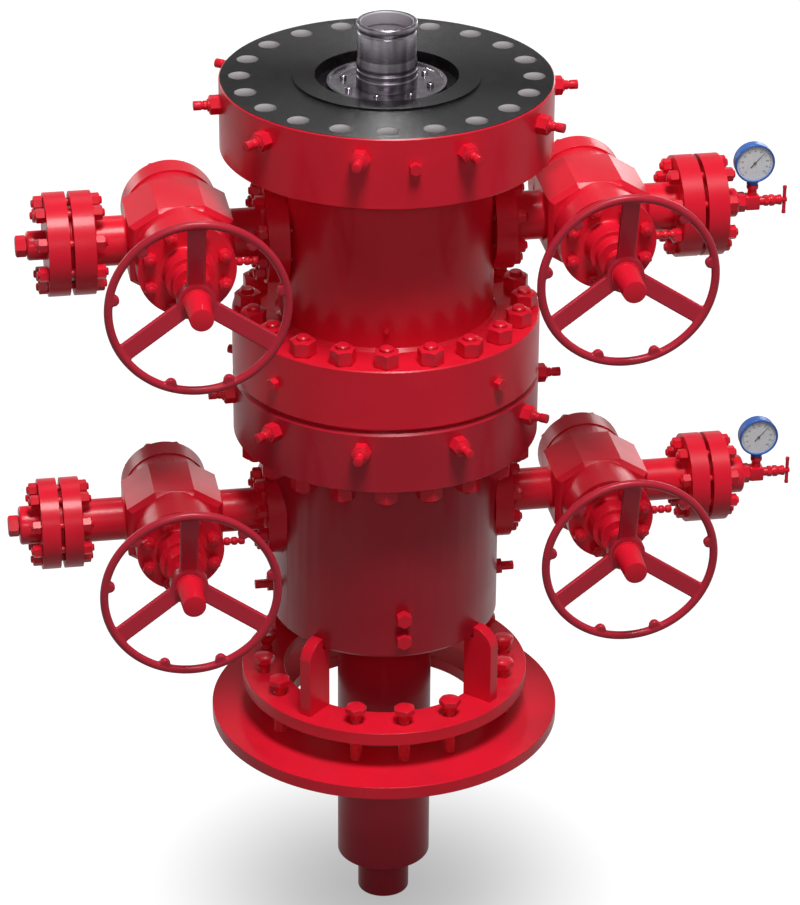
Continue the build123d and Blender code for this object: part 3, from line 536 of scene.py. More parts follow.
def lathe(outline: Outline, segments: int = 64, ease: float = 0.0, hollow: bool = False) -> Solid:
    """Turns an outline round Z into a closed solid.

    Args:
        outline: (radius, height) points in metres.
        segments: faces round the axis.
        ease: radius that rounds the outline's corners.
        hollow: closes the outline on itself and not over the axis.

    Returns:
        The solid, with outward normals.
    """
    if not hollow:
        outline = list(dict.fromkeys([(0.0, outline[0][1]), *outline, (0.0, outline[-1][1])]))
    if ease > 0:
        outline = eased(outline, ease)
    work = bmesh.new()
    on_axis = 1e-6
    rings = []
    for radius, height in outline:
        turns = [math.tau * i / segments for i in range(1 if radius < on_axis else segments)]
        rings.append([work.verts.new((radius * math.cos(a), radius * math.sin(a), height)) for a in turns])
    for low, high in zip(rings, rings[1:] + (rings[:1] if hollow else [])):
        for i in range(segments):
            j = (i + 1) % segments
            corners = (low[i % len(low)], low[j % len(low)], high[j % len(high)], high[i % len(high)])
            unique = list(dict.fromkeys(corners))
            if len(unique) > 2:
                work.faces.new(unique)
    bmesh.ops.recalc_face_normals(work, faces=work.faces)
    return work


def eased(outline: Outline, radius: float) -> list[tuple[float, float]]:
    """Rounds the corners of a lathe outline that lie off the axis.

    Args:
        outline: (radius, height) points.
        radius: rounding radius in metres, limited by the neighbouring runs.

    Returns:
        The rounded outline.
    """
    steps, limit = 2, 0.45
    result = []
    for i, point in enumerate(outline):
        before, here, after = (Vector(outline[k % len(outline)]) for k in (i - 1, i, i + 1))
        if here.x < radius / 10:
            result.append(point)
            continue
        back, ahead = before - here, after - here
        reach = min(radius, limit * back.length, limit * ahead.length)
        first, last = here + back.normalized() * reach, here + ahead.normalized() * reach
        for k in range(steps + 1):
            share = k / steps
            spot = first.lerp(here, share).lerp(here.lerp(last, share), share)
            result.append((spot.x, spot.y))
    return result


def pin(radius: float, length: float, ease: float = 0.0, segments: int = 24) -> Solid:
    """Round bar standing on Z = 0, with its ends rounded by the ease."""
    return lathe([(radius, 0.0), (radius, length)], segments, ease)


def fillet_ring(radius: float, size: float) -> Solid:
    """Cast fillet where a round neck meets a face at Z = 0, with the neck rising along Z.

    Args:
        radius: radius of the neck.
        size: radius of the fillet.

    Returns:
        The fillet's solid, let slightly into both surfaces.
    """
    sink, steps = 0.001, 5
    turns = [math.pi / 2 * k / steps for k in range(steps + 1)]
    curve = [(radius + size * (1 - math.cos(a)), size * (1 - math.sin(a))) for a in turns]
    outline = [(radius - sink, size), *curve, (radius + size, -sink), (radius - sink, -sink)]
    return lathe(outline, 56, hollow=True)


def block(size: Point, spot: Point, ease: float = 0.0) -> Solid:
    """Rectangular bar with eased edges.

    Args:
        size: its length along each axis.
        spot: its middle.
        ease: width of the edge rounding.

    Returns:
        The bar.
    """
    work = bmesh.new()
    bmesh.ops.create_cube(work, size=1.0, matrix=Matrix.Translation(spot) @ Matrix.Diagonal((*size, 1.0)))
    if ease > 0:
        bmesh.ops.bevel(work, geom=list(work.edges), offset=ease, segments=2, profile=0.6, affect="EDGES")
    return work


def hex_nut(flats: float, height: float, per_side: int = 4) -> Solid:
    """Hexagon nut or bolt head with turned corners on both faces, standing on Z = 0.

    Args:
        flats: size across the flats.
        height: its height.
        per_side: runs along each side, which shape the turned corners.

    Returns:
        The nut.
    """
    work = bmesh.new()
    corner, face, slope = flats / math.sqrt(3), 0.47 * flats, 0.58
    ends = [Vector((math.cos(math.tau * k / 6), math.sin(math.tau * k / 6))) * corner for k in range(7)]
    rim = [ends[k].lerp(ends[k + 1], step / per_side) for k in range(6) for step in range(per_side)]
    rings = []
    for base, sign in ((0.0, 1.0), (height, -1.0)):
        rings.append([work.verts.new((p.x, p.y, base + sign * slope * (p.length - face))) for p in rim])
        rings.append([work.verts.new((*(p.normalized() * face), base)) for p in rim])
    low, low_face, high, high_face = rings
    for i in range(len(rim)):
        j = (i + 1) % len(rim)
        for first, second in ((low, high), (high, high_face), (low_face, low)):
            work.faces.new((first[i], first[j], second[j], second[i]))
    work.faces.new(high_face)
    work.faces.new(list(reversed(low_face)))
    bmesh.ops.recalc_face_normals(work, faces=work.faces)
    return work


def merged(parts: Iterable[tuple[Solid, Matrix]]) -> Solid:
    """Joins several solids into one bmesh.

    Args:
        parts: each solid with its placement. The solids are freed.

    Returns:
        The joined bmesh.
    """
    meshes = []
    for solid, place in parts:
        solid.transform(place)
        meshes.append(bpy.data.meshes.new("part"))
        solid.to_mesh(meshes[-1])
        solid.free()
    return gathered(meshes)


def gathered(meshes: Iterable[Mesh], into: Optional[Solid] = None) -> Solid:
    """Gathers finished meshes, with their sharp creases, in one bmesh.

    Args:
        meshes: the meshes, which are removed.
        into: the bmesh that takes them, or None for a new one.

    Returns:
        The bmesh.
    """
    total = bmesh.new() if into is None else into
    for mesh in meshes:
        total.from_mesh(mesh)
        bpy.data.meshes.remove(mesh)
    return total


def joined_mesh(name: str, meshes: Iterable[Mesh]) -> Mesh:
    """Joins finished meshes into one and keeps their sharp creases.

    Args:
        name: the new mesh's name.
        meshes: the meshes, which are removed.

    Returns:
        The joined mesh.
    """
    total = gathered(meshes)
    result = bpy.data.meshes.new(name)
    total.to_mesh(result)
    total.free()
    return result


def baked(holder: bpy.types.Object, name: str) -> Mesh:
    """Takes an object's shape as a plain mesh, with its modifiers applied, and removes the object.

    Args:
        holder: the object.
        name: the new mesh's name.

    Returns:
        The mesh.
    """
    bpy.context.view_layer.update()
    graph = bpy.context.evaluated_depsgraph_get()
    mesh = bpy.data.meshes.new_from_object(holder.evaluated_get(graph))
    mesh.name = name
    holder.modifiers.clear()
    bpy.data.objects.remove(holder)
    return mesh


def cast_mesh(work: Solid, name: str, grain: float) -> Mesh:
    """Fuses overlapping solids into one skin with soft cast corners.

    Args:
        work: the solids, freed.
        name: the mesh's name.
        grain: size of the skin's cells in metres.

    Returns:
        The skin.
    """
    holder = put_in_scene(name, mesh_from(work, name))
    skin = holder.modifiers.new("skin", "REMESH")
    skin.mode = "VOXEL"
    skin.voxel_size = grain
    skin.use_smooth_shade = True
    soften = holder.modifiers.new("soften", "SMOOTH")
    soften.factor = 0.5
    soften.iterations = 4
    return baked(holder, f"{name}_skin")


def dress_node(node: str, finish: Finish, edge: float = 0.0015, slot: Slot = Slot.RED) -> None:
    """Copies a node of the stack, cleans the copy and rounds its edges, and puts it in the node's place.

    Args:
        node: the node's name.
        finish: the finish.
        edge: width of the edge rounding, in metres.
        slot: the record's material slot.
    """
    weld, level_angle, crease = 0.00002, 0.6, 28.0
    work = bmesh.new()
    work.from_mesh(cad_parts[node].data)
    bmesh.ops.remove_doubles(work, verts=work.verts, dist=weld)
    bmesh.ops.dissolve_degenerate(work, edges=work.edges, dist=weld)
    bmesh.ops.dissolve_limit(work, angle_limit=math.radians(level_angle), verts=work.verts, edges=work.edges)
    name = f"{node}_look"
    piece = new_piece(name, mesh_from(work, name, crease), finish, (node,), slot)
    bevel = piece.modifiers.new("edge", "BEVEL")
    bevel.width = edge
    bevel.segments = 2
    bevel.limit_method = "ANGLE"
    bevel.angle_limit = math.radians(crease)
    bevel.harden_normals = True


class RingTree(NodeBuilder):
    """Geometry Nodes tree that sets copies of one piece round a circle."""

    INPUTS = {"Master": "Object", "Count": "Int", "Circle Radius": "Float", "First Angle": "Float",
              "Step Angle": "Float", "Skip Period": "Int", "Skip Remainder": "Int", "Finish": "Material"}
    NO_SKIP = (1000, 999)

    def __init__(self) -> None:
        """Builds the tree once."""
        super().__init__(bpy.data.node_groups.new("ring_of_pieces", "GeometryNodeTree"))
        interface = self.tree.interface
        self.sockets = {}
        for name, kind in self.INPUTS.items():
            socket = interface.new_socket(name, in_out="INPUT", socket_type=f"NodeSocket{kind}")
            self.sockets[name] = socket.identifier
        interface.new_socket("Geometry", in_out="OUTPUT", socket_type="NodeSocketGeometry")
        pull = {name: self.add("NodeGroupInput", output=name) for name in self.INPUTS}
        index = self.add("GeometryNodeInputIndex")
        angle = pull["First Angle"] + index * pull["Step Angle"]
        spot = self.add("ShaderNodeCombineXYZ", inputs={"X": angle.apply("COSINE") * pull["Circle Radius"],
                                                        "Y": angle.apply("SINE") * pull["Circle Radius"]})
        points = self.add("GeometryNodePoints", inputs={"Count": pull["Count"], "Position": spot})
        rest = index.apply("FLOORED_MODULO", pull["Skip Period"]) - pull["Skip Remainder"]
        master = self.add("GeometryNodeObjectInfo", inputs={"Object": pull["Master"]}, output="Geometry")
        copies = self.add("GeometryNodeInstanceOnPoints", inputs={
            "Points": points, "Selection": rest.apply("ABSOLUTE") > 0.5, "Instance": master,
            "Rotation": self.add("ShaderNodeCombineXYZ", inputs={"Z": angle})})
        real = self.add("GeometryNodeRealizeInstances", inputs={"Geometry": copies})
        dressed = self.add("GeometryNodeSetMaterial", inputs={"Geometry": real, "Material": pull["Finish"]})
        self.add("NodeGroupOutput", inputs={"Geometry": dressed})

    def ring(self, name: str, master: Solid, place: Matrix, finish: Finish, count: int,
             circle: float, first: float = 0.0, step: Optional[float] = None,
             skip: tuple[int, int] = NO_SKIP) -> Mesh:
        """Runs the tree and turns its result into a plain mesh.

        Args:
            name: the mesh's name.
            master: the piece, made for the angle 0 of a circle round Z, which is freed.
            place: placement of the circle in the row frame.
            finish: the finish.
            count: how many places the circle has.
            circle: its radius.
            first: angle of the first place, in degrees.
            step: angle from place to place, or None to share out the whole turn.
            skip: period and remainder of the places that stay empty.

        Returns:
            The mesh in the row frame.
        """
        source = put_in_scene(f"{name}_master", mesh_from(master, f"{name}_master"))
        holder = put_in_scene(f"{name}_ring", bpy.data.meshes.new(f"{name}_ring"))
        modifier = holder.modifiers.new("ring", "NODES")
        modifier.node_group = self.tree
        angles = math.radians(first), math.radians(360.0 / count if step is None else step)
        for key, value in zip(self.INPUTS, (source, count, circle, *angles, *skip, finish.material)):
            modifier[self.sockets[key]] = value
        mesh = baked(holder, name)
        bpy.data.objects.remove(source)
        mesh.transform(place)
        return mesh


@dataclass(frozen=True)
class Nut:
    """Sizes of one stud and its nut, in metres."""

    stud: float
    flats: float
    height: float
    stand: float
    per_side: int = 2
    grooves: int = 1

    def build(self) -> Solid:
        """Nut with the grooved stud end above it, standing on Z = 0.

        Returns:
            The nut and stud end.
        """
        stud, stand = self.stud, self.stand
        root, bevel, tip = 0.92 * stud, 0.82 * stud, 0.45 * stud
        pitch = 0.62 * stand / self.grooves
        outline = [(stud, 0.0)]
        for i in range(self.grooves):
            outline += [(stud, pitch * (i + 0.35)), (root, pitch * (i + 0.65)), (stud, pitch * (i + 1))]
        outline += [(bevel, 0.9 * stand), (tip, stand)]
        return merged([(hex_nut(self.flats, self.height, self.per_side), at(0.0)),
                       (lathe(outline, 12), at(self.height))])

    def pair(self, grip: float) -> Solid:
        """Two nuts with the stud between them, round a clamped thickness that starts at Z = 0."""
        return merged([(pin(self.stud, grip, segments=12), at(0.0)), (self.build(), at(grip)),
                       (self.build(), Matrix.Rotation(math.pi, 4, "X"))])


@dataclass
class LandingBase:
    """Casing pipes, base plate, raised ring, gussets and jacking bolts."""

    rings: RingTree
    pipes: tuple[str, ...] = ("outer_casing", "inner_casing")
    plates: tuple[str, ...] = ("base_plate", "landing_ring", "landing_gussets")
    plate_top: float = 0.032
    head_level: float = 0.163
    bolt_circle: float = 0.298
    bolt_slots: int = 16
    slots_per_gusset: int = 4
    shank_radius: float = 0.014
    thread_depth: float = 0.0011
    thread_pitch: float = 0.006
    cone_radius: float = 0.021
    cone_height: float = 0.014
    head_flats: float = 0.046
    head_height: float = 0.015

    def build(self) -> None:
        """Dresses the base and its bolts."""
        # the casing pipes take the darker red, which is painted shade
        for node in self.pipes:
            dress_node(node, Finish.DEEP_RED)
        for node in self.plates:
            dress_node(node, Finish.BODY_RED)
        skip = (self.slots_per_gusset, self.slots_per_gusset // 2)
        mesh = self.rings.ring("jacking_bolts", self.bolt(), at(self.plate_top), Finish.BODY_RED,
                               self.bolt_slots, self.bolt_circle, skip=skip)
        new_piece("jacking_bolts", mesh, Finish.BODY_RED, ("landing_bolts",))

    def bolt(self) -> Solid:
        """Jacking bolt with a coned neck below its head, standing on Z = 0.

        Returns:
            The bolt.
        """
        length = self.head_level - self.plate_top
        neck = length - self.cone_height
        shank, pitch = self.shank_radius, self.thread_pitch
        root = shank - self.thread_depth
        outline = [(root, 0.0)]
        for i in range(int(neck / pitch)):
            outline += [(shank, pitch * (i + 0.4)), (root, pitch * (i + 0.9))]
        shaft = lathe(outline + [(shank, neck), (self.cone_radius, length)], 20)
        return merged([(shaft, at(0.0)), (hex_nut(self.head_flats, self.head_height), at(length))])


@dataclass
class Bodies:
    """Casing head, casing spool, their studs, lock screws, plugs and ports."""

    rings: RingTree
    head_flange_bottom: float = 0.787
    spool_flange_top: float = 1.097
    stud_circle: float = 0.32398
    stud_count: int = 20
    nut: Nut = Nut(0.017, 0.054, 0.036, 0.0105, per_side=4, grooves=2)
    screw_count: int = 10
    top_rim: float = 0.38405
    middle_rim: float = 0.36148
    top_screw_level: float = 1.626
    middle_screw_level: float = 0.895
    gland_flats: float = 0.040
    gland_length: float = 0.025
    screw_radius: float = 0.011
    screw_length: float = 0.036
    collar_run: float = 0.004
    sink: float = 0.004

    def build(self) -> None:
        """Dresses the bodies and what is screwed into them."""
        # the casing head takes the darker red, which is painted shade
        dress_node("casing_head", Finish.DEEP_RED)
        dress_node("casing_spool", Finish.SPOOL_RED)
        for node in ("body_plugs", "test_ports"):
            dress_node(node, Finish.BODY_RED, edge=0.001)
        self.studs()
        self.lock_screws()

    def studs(self) -> None:
        """Sets the studs and nuts that clamp the spool onto the head."""
        foot = self.head_flange_bottom
        mesh = self.rings.ring("clamp_studs", self.nut.pair(self.spool_flange_top - foot), at(foot),
                               Finish.BODY_RED, self.stud_count, self.stud_circle, 180.0 / self.stud_count)
        new_piece("clamp_studs", mesh, Finish.BODY_RED, ("middle_studs",))

    def lock_screws(self) -> None:
        """Sets the lock screws round both flanges."""
        name = "lock_screw_rings"
        places = (self.top_rim, self.top_screw_level), (self.middle_rim, self.middle_screw_level)
        meshes = [self.rings.ring(name, self.lock_screw(), at(level), Finish.BODY_RED, self.screw_count, rim)
                  for rim, level in places]
        new_piece(name, joined_mesh(name, meshes), Finish.BODY_RED, ("lock_screws",))

    def lock_screw(self) -> Solid:
        """Gland nut and screw end, pointing along X from the flange rim.

        Returns:
            The lock screw.
        """
        start, run, radius = self.gland_length, self.collar_run, self.screw_radius
        collar, waist = 1.35 * radius, 0.86 * radius
        outline = [(collar, start - run), (collar, start + run), (radius, start + run),
                   (radius, start + 3 * run), (waist, start + 3.5 * run), (waist, start + 4 * run),
                   (radius, start + 4.5 * run), (radius, start + self.screw_length)]
        along_x = facing((1.0, 0.0, 0.0))
        gland = hex_nut(self.gland_flats, self.sink + self.gland_length)
        return merged([(gland, along_x @ at(-self.sink)), (lathe(outline, 20, 0.0012), along_x)])


@dataclass
class Hanger:
    """Casing hanger and its neck in the top of the spool."""

    rings: RingTree
    top: float = 1.673
    neck_sink: float = 0.019
    neck_stand: float = 0.134
    neck_radius: float = 0.070
    waist_radius: float = 0.0675
    bore_radius: float = 0.059
    foot_height: float = 0.033
    foot_grooves: tuple[float, ...] = (0.004, 0.020)
    groove: float = 0.0018
    lip: float = 0.003
    screw_circle: float = 0.102
    screw_count: int = 8
    screw_radius: float = 0.008
    screw_height: float = 0.009
    dish_level: float = 1.657

    def build(self) -> None:
        """Dresses the hanger, its screws and the neck."""
        dress_node("casing_hanger", Finish.HANGER_STEEL, 0.001, Slot.STEEL)
        neck = lathe(self.neck_outline(), 96, 0.0011, hollow=True)
        new_piece("neck_turned", neck, Finish.NECK_STEEL, ("hanger_neck",), Slot.STEEL)
        mesh = self.rings.ring("cap_screws", self.cap_screw(), at(self.dish_level), Finish.HANGER_STEEL,
                               self.screw_count, self.screw_circle, 180.0 / self.screw_count)
        new_piece("cap_screws", mesh, Finish.HANGER_STEEL, ("hanger_screws",), Slot.STEEL)

    def neck_outline(self) -> Outline:
        """Outline of the neck: foot with two grooves, bevel, waist, relief and top collar.

        Returns:
            (radius, height) points, closed on themselves round the bore.
        """
        base, crown, foot = self.top - self.neck_sink, self.top + self.neck_stand, self.top + self.foot_height
        neck, waist, bore = self.neck_radius, self.waist_radius, self.bore_radius
        groove, lip = self.groove, self.lip
        outline = [(bore, base), (neck, base)]
        for height in self.foot_grooves:
            level = self.top + height
            outline += [(neck, level), (neck - groove, level + groove), (neck - groove, level + 2 * groove),
                        (neck, level + 3 * groove)]
        return outline + [
            (neck, foot), (waist, foot + 0.019), (waist, crown - 0.026), (waist - groove, crown - 0.024),
            (waist - groove, crown - 0.018), (neck, crown - 0.014), (neck, crown - lip), (neck - lip, crown),
            (bore + lip, crown), (bore, crown - lip), (bore, crown - 0.030), (bore + groove, crown - 0.033),
            (bore + groove, base + 0.004), (bore, base + 0.002)]

    def cap_screw(self) -> Solid:
        """Cap screw with a round socket, standing on Z = 0.

        Returns:
            The screw head.
        """
        radius, height = self.screw_radius, self.screw_height
        bevel, hollow = 0.85, 0.45
        return lathe([(radius, 0.0), (radius, bevel * height), (bevel * radius, height),
                      (hollow * radius, height), (hollow * radius, hollow * height)], 16)


@dataclass(frozen=True)
class BranchSizes:
    """Sizes of the side branches of one row, in metres."""

    level: float
    flat: float
    length: float
    flange_thickness: float
    circle: float
    outlet_nut: Nut
    neck: float
    width: float
    depth: float
    bonnet: float
    bonnet_circle: float
    reach: float
    collar: float = 0.038
    raised_face: float = 0.0045

    @property
    def middle(self) -> float:
        """Distance from the well's axis to the stem's axis."""
        return self.flat + self.length / 2

    @property
    def outer(self) -> float:
        """Distance from the well's axis to the back of the valve's outer flange."""
        return self.flat + self.length - self.flange_thickness

    @property
    def end(self) -> float:
        """Distance from the well's axis to the outer face of the blind flange."""
        return self.flat + self.length + 2 * self.raised_face + self.flange_thickness

    @property
    def cover(self) -> float:
        """Distance from the outlet's axis to the foot of a bonnet."""
        return self.depth / 2 + self.collar


ROW_SIZES = {
    Row.UPPER: BranchSizes(level=1.306, flat=0.240, length=0.493, flange_thickness=0.050, circle=0.09525,
                           outlet_nut=Nut(0.0095, 0.0304, 0.0218, 0.0057), neck=0.0575, width=0.240,
                           depth=0.184, bonnet=0.113, bonnet_circle=0.092, reach=0.402),
    Row.LOWER: BranchSizes(level=0.585, flat=0.252, length=0.527, flange_thickness=0.044, circle=0.0825,
                           outlet_nut=Nut(0.009, 0.0288, 0.0207, 0.0054), neck=0.051, width=0.226,
                           depth=0.172, bonnet=0.103, bonnet_circle=0.083, reach=0.394)}
FRONT = (0.0, -1.0, 0.0)
UP = (0.0, 0.0, 1.0)


@dataclass
class Handwheel:
    """Dished handwheel: tube rim, flat spokes, hub and grip lugs, cast in one."""

    rings: RingTree
    reach: float
    radius: float = 0.2105
    tube: float = 0.010
    tube_sides: int = 20
    rim_segments: int = 128
    dish: float = 0.030
    hub_radius: float = 0.044
    hub_length: float = 0.030
    bore: float = 0.025
    bore_depth: float = 0.020
    spoke_width: float = 0.042
    spoke_thickness: float = 0.012
    spoke_count: int = 3
    lug_radius: float = 0.013
    lug_thickness: float = 0.016
    grain: float = 0.0022

    def mesh(self, name: str, centre: Vector) -> Mesh:
        """Builds the wheel, with its first spoke up and its rim's plane at the reach.

        Args:
            name: the mesh's name.
            centre: where the stem's axis crosses the outlet's axis.

        Returns:
            The mesh in the row frame.
        """
        place = facing(FRONT)
        plane = place @ at(self.reach)
        upright = turn_to(place, UP)
        ring = self.radius - self.tube
        paint, count = Finish.WHEEL_RED, self.spoke_count
        arms = [self.rings.ring(f"{name}_spokes", self.spoke(), place, paint, count, 0.0, upright),
                self.rings.ring(f"{name}_lugs", self.lug(), plane, paint, 3 * count, ring - self.tube,
                                upright, skip=(3, 0))]
        total = gathered(arms, merged([(self.rim(ring), plane), (self.hub(), place)]))
        skin = cast_mesh(total, name, self.grain)
        skin.transform(Matrix.Translation(centre))
        return skin

    def rim(self, ring: float) -> Solid:
        """Round tube of the rim, about Z.

        Args:
            ring: radius of the tube's middle line.

        Returns:
            The rim.
        """
        turns = [math.tau * k / self.tube_sides for k in range(self.tube_sides)]
        outline = [(ring + self.tube * math.cos(a), self.tube * math.sin(a)) for a in turns]
        return lathe(outline, self.rim_segments, hollow=True)

    def hub(self) -> Solid:
        """Hub with the blind bore for the stem in its back."""
        front, back = self.reach - self.dish, self.reach - self.dish - self.hub_length
        return lathe([(self.bore, back + self.bore_depth), (self.bore, back), (self.hub_radius, back),
                      (self.hub_radius, front)])

    def spoke(self) -> Solid:
        """Flat spoke from the hub to the rim, in the XZ plane.

        Returns:
            The spoke.
        """
        start = Vector((self.hub_radius / 2, 0.0, self.reach - self.dish - self.spoke_thickness))
        run = Vector((self.radius - self.tube, 0.0, self.reach)) - start
        bar = block((run.length, self.spoke_width, self.spoke_thickness), (run.length / 2, 0.0, 0.0), 0.0015)
        bar.transform(Matrix.Translation(start) @ Matrix.Rotation(-math.atan2(run.z, run.x), 4, "Y"))
        return bar

    def lug(self) -> Solid:
        """Grip lug, a short round boss across the rim."""
        return merged([(pin(self.lug_radius, self.lug_thickness, 0.003), at(-self.lug_thickness / 2))])


@dataclass
class Branch:
    """One side branch: valve, flanges, studs, wheel and stem protector."""

    rings: RingTree
    row: Row
    side: Side
    bonnet_thickness: float = 0.062
    yoke_radius: float = 0.056
    bonnet_nut: Nut = Nut(0.0085, 0.0272, 0.0196, 0.0051)
    nuts_per_flange: int = 8
    fillet: float = 0.007
    protector_root: float = 0.031
    protector_tip: float = 0.027
    protector_stand: float = 0.064
    protector_lip: float = 0.003

    @property
    def name(self) -> str:
        """Name that the branch's nodes begin with."""
        return f"{self.row.value}_{self.side.name.lower()}"

    @property
    def sizes(self) -> BranchSizes:
        """Sizes of the branch's row."""
        return ROW_SIZES[self.row]

    @property
    def bonnet_face(self) -> float:
        """Distance from the outlet's axis to the outer face of a bonnet."""
        return self.sizes.cover + self.bonnet_thickness

    def along(self, distance: float, way: int = 1) -> Matrix:
        """Placement on the outlet's axis, with Z away from the well, or towards it where way is -1."""
        sign = self.side.value
        return facing((sign * way, 0.0, 0.0), (sign * distance, 0.0, self.sizes.level))

    def across(self, distance: float, way: int = -1) -> Matrix:
        """Placement on the stem's axis, with Z to the front, or to the back where way is 1."""
        x = self.side.value * self.sizes.middle
        return facing((0.0, way, 0.0), (x, way * distance, self.sizes.level))

    def build(self) -> None:
        """Dresses every piece of the branch."""
        dress_node(f"{self.name}_valve_body", Finish.CAST_RED, 0.0022)
        dress_node(f"{self.name}_bonnets", Finish.CAST_RED, 0.0018)
        dress_node(f"{self.name}_blind_flange", Finish.BODY_RED)
        self.fillets()
        self.studs()
        self.wheel()

    def fillets(self) -> None:
        """Adds the cast fillets at the necks and at the yoke."""
        size = self.sizes
        places = [self.along(size.flat + size.flange_thickness), self.along(size.middle - size.width / 2, -1),
                  self.along(size.middle + size.width / 2), self.along(size.outer, -1)]
        rings = [(size.neck, place) for place in places] + [(self.yoke_radius, self.across(self.bonnet_face))]
        work = merged((fillet_ring(radius, self.fillet), place) for radius, place in rings)
        new_piece(f"{self.name}_fillets", work, Finish.CAST_RED)

    def studs(self) -> None:
        """Sets the studs and nuts of the bonnets and of the outlet flanges."""
        size, bonnet = self.sizes, self.bonnet_nut
        grip = 2 * size.flange_thickness + 2 * size.raised_face
        rings = [(bonnet.build(), size.bonnet_circle, self.across(self.bonnet_face)),
                 (bonnet.build(), size.bonnet_circle, self.across(self.bonnet_face, 1)),
                 (size.outlet_nut.build(), size.circle, self.along(size.flat + size.flange_thickness)),
                 (size.outlet_nut.pair(grip), size.circle, self.along(size.outer))]
        name, count = f"{self.name}_nuts", self.nuts_per_flange
        meshes = [self.rings.ring(f"{name}_{k}", master, place, Finish.BODY_RED, count, circle, 180.0 / count)
                  for k, (master, circle, place) in enumerate(rings)]
        new_piece(name, joined_mesh(name, meshes), Finish.BODY_RED, (f"{self.name}_studs",))

    def wheel(self) -> None:
        """Builds the handwheel and the stem protector."""
        wheel = Handwheel(self.rings, self.sizes.reach)
        body, centre = f"{self.name}_wheel", self.across(0.0)
        name = f"{self.name}_cast_wheel"
        new_piece(name, wheel.mesh(name, centre.translation), Finish.WHEEL_RED, (f"{self.name}_handwheel",),
                  Slot.WHEEL, body)
        root, tip = wheel.reach - wheel.dish, wheel.reach + self.protector_stand
        lip = self.protector_lip
        outline = [(self.protector_root + lip, root), (self.protector_root + lip, root + 2 * lip),
                   (self.protector_root, root + 2 * lip), (self.protector_tip, tip)]
        new_piece(f"{self.name}_protector", merged([(lathe(outline, 56, 0.0018), centre)]), Finish.BODY_RED,
                  (f"{self.name}_stem_protector",), body=body)


@dataclass
class GreaseFittings:
    """Beaded grease fittings at the sides of the front bonnets."""

    bead_radius: float = 0.010
    bead_count: int = 3
    stem_radius: float = 0.006
    length: float = 0.052
    sink: float = 0.004
    bonnet_depth: float = 0.031

    def build(self) -> None:
        """Builds one fitting on each branch."""
        places = [(side.value * size.middle + size.bonnet, -(size.cover + self.bonnet_depth), size.level)
                  for size in ROW_SIZES.values() for side in Side]
        work = merged((lathe(self.outline(), 20), facing((1.0, 0.0, 0.0), place)) for place in places)
        new_piece("beaded_fittings", work, Finish.BODY_RED, ("grease_fittings",))

    def outline(self) -> Outline:
        """Outline of one fitting: a stem with round beads.

        Returns:
            (radius, height) points from the foot to the tip.
        """
        pitch = self.length / self.bead_count
        stem, bead = self.stem_radius, self.bead_radius
        shoulder = 0.85 * bead
        profile = ((stem, 0.12), (shoulder, 0.2), (bead, 0.4), (bead, 0.75), (shoulder, 0.92), (stem, 1.0))
        return [(stem, -self.sink)] + [(radius, pitch * (i + share)) for i in range(self.bead_count)
                                       for radius, share in profile]


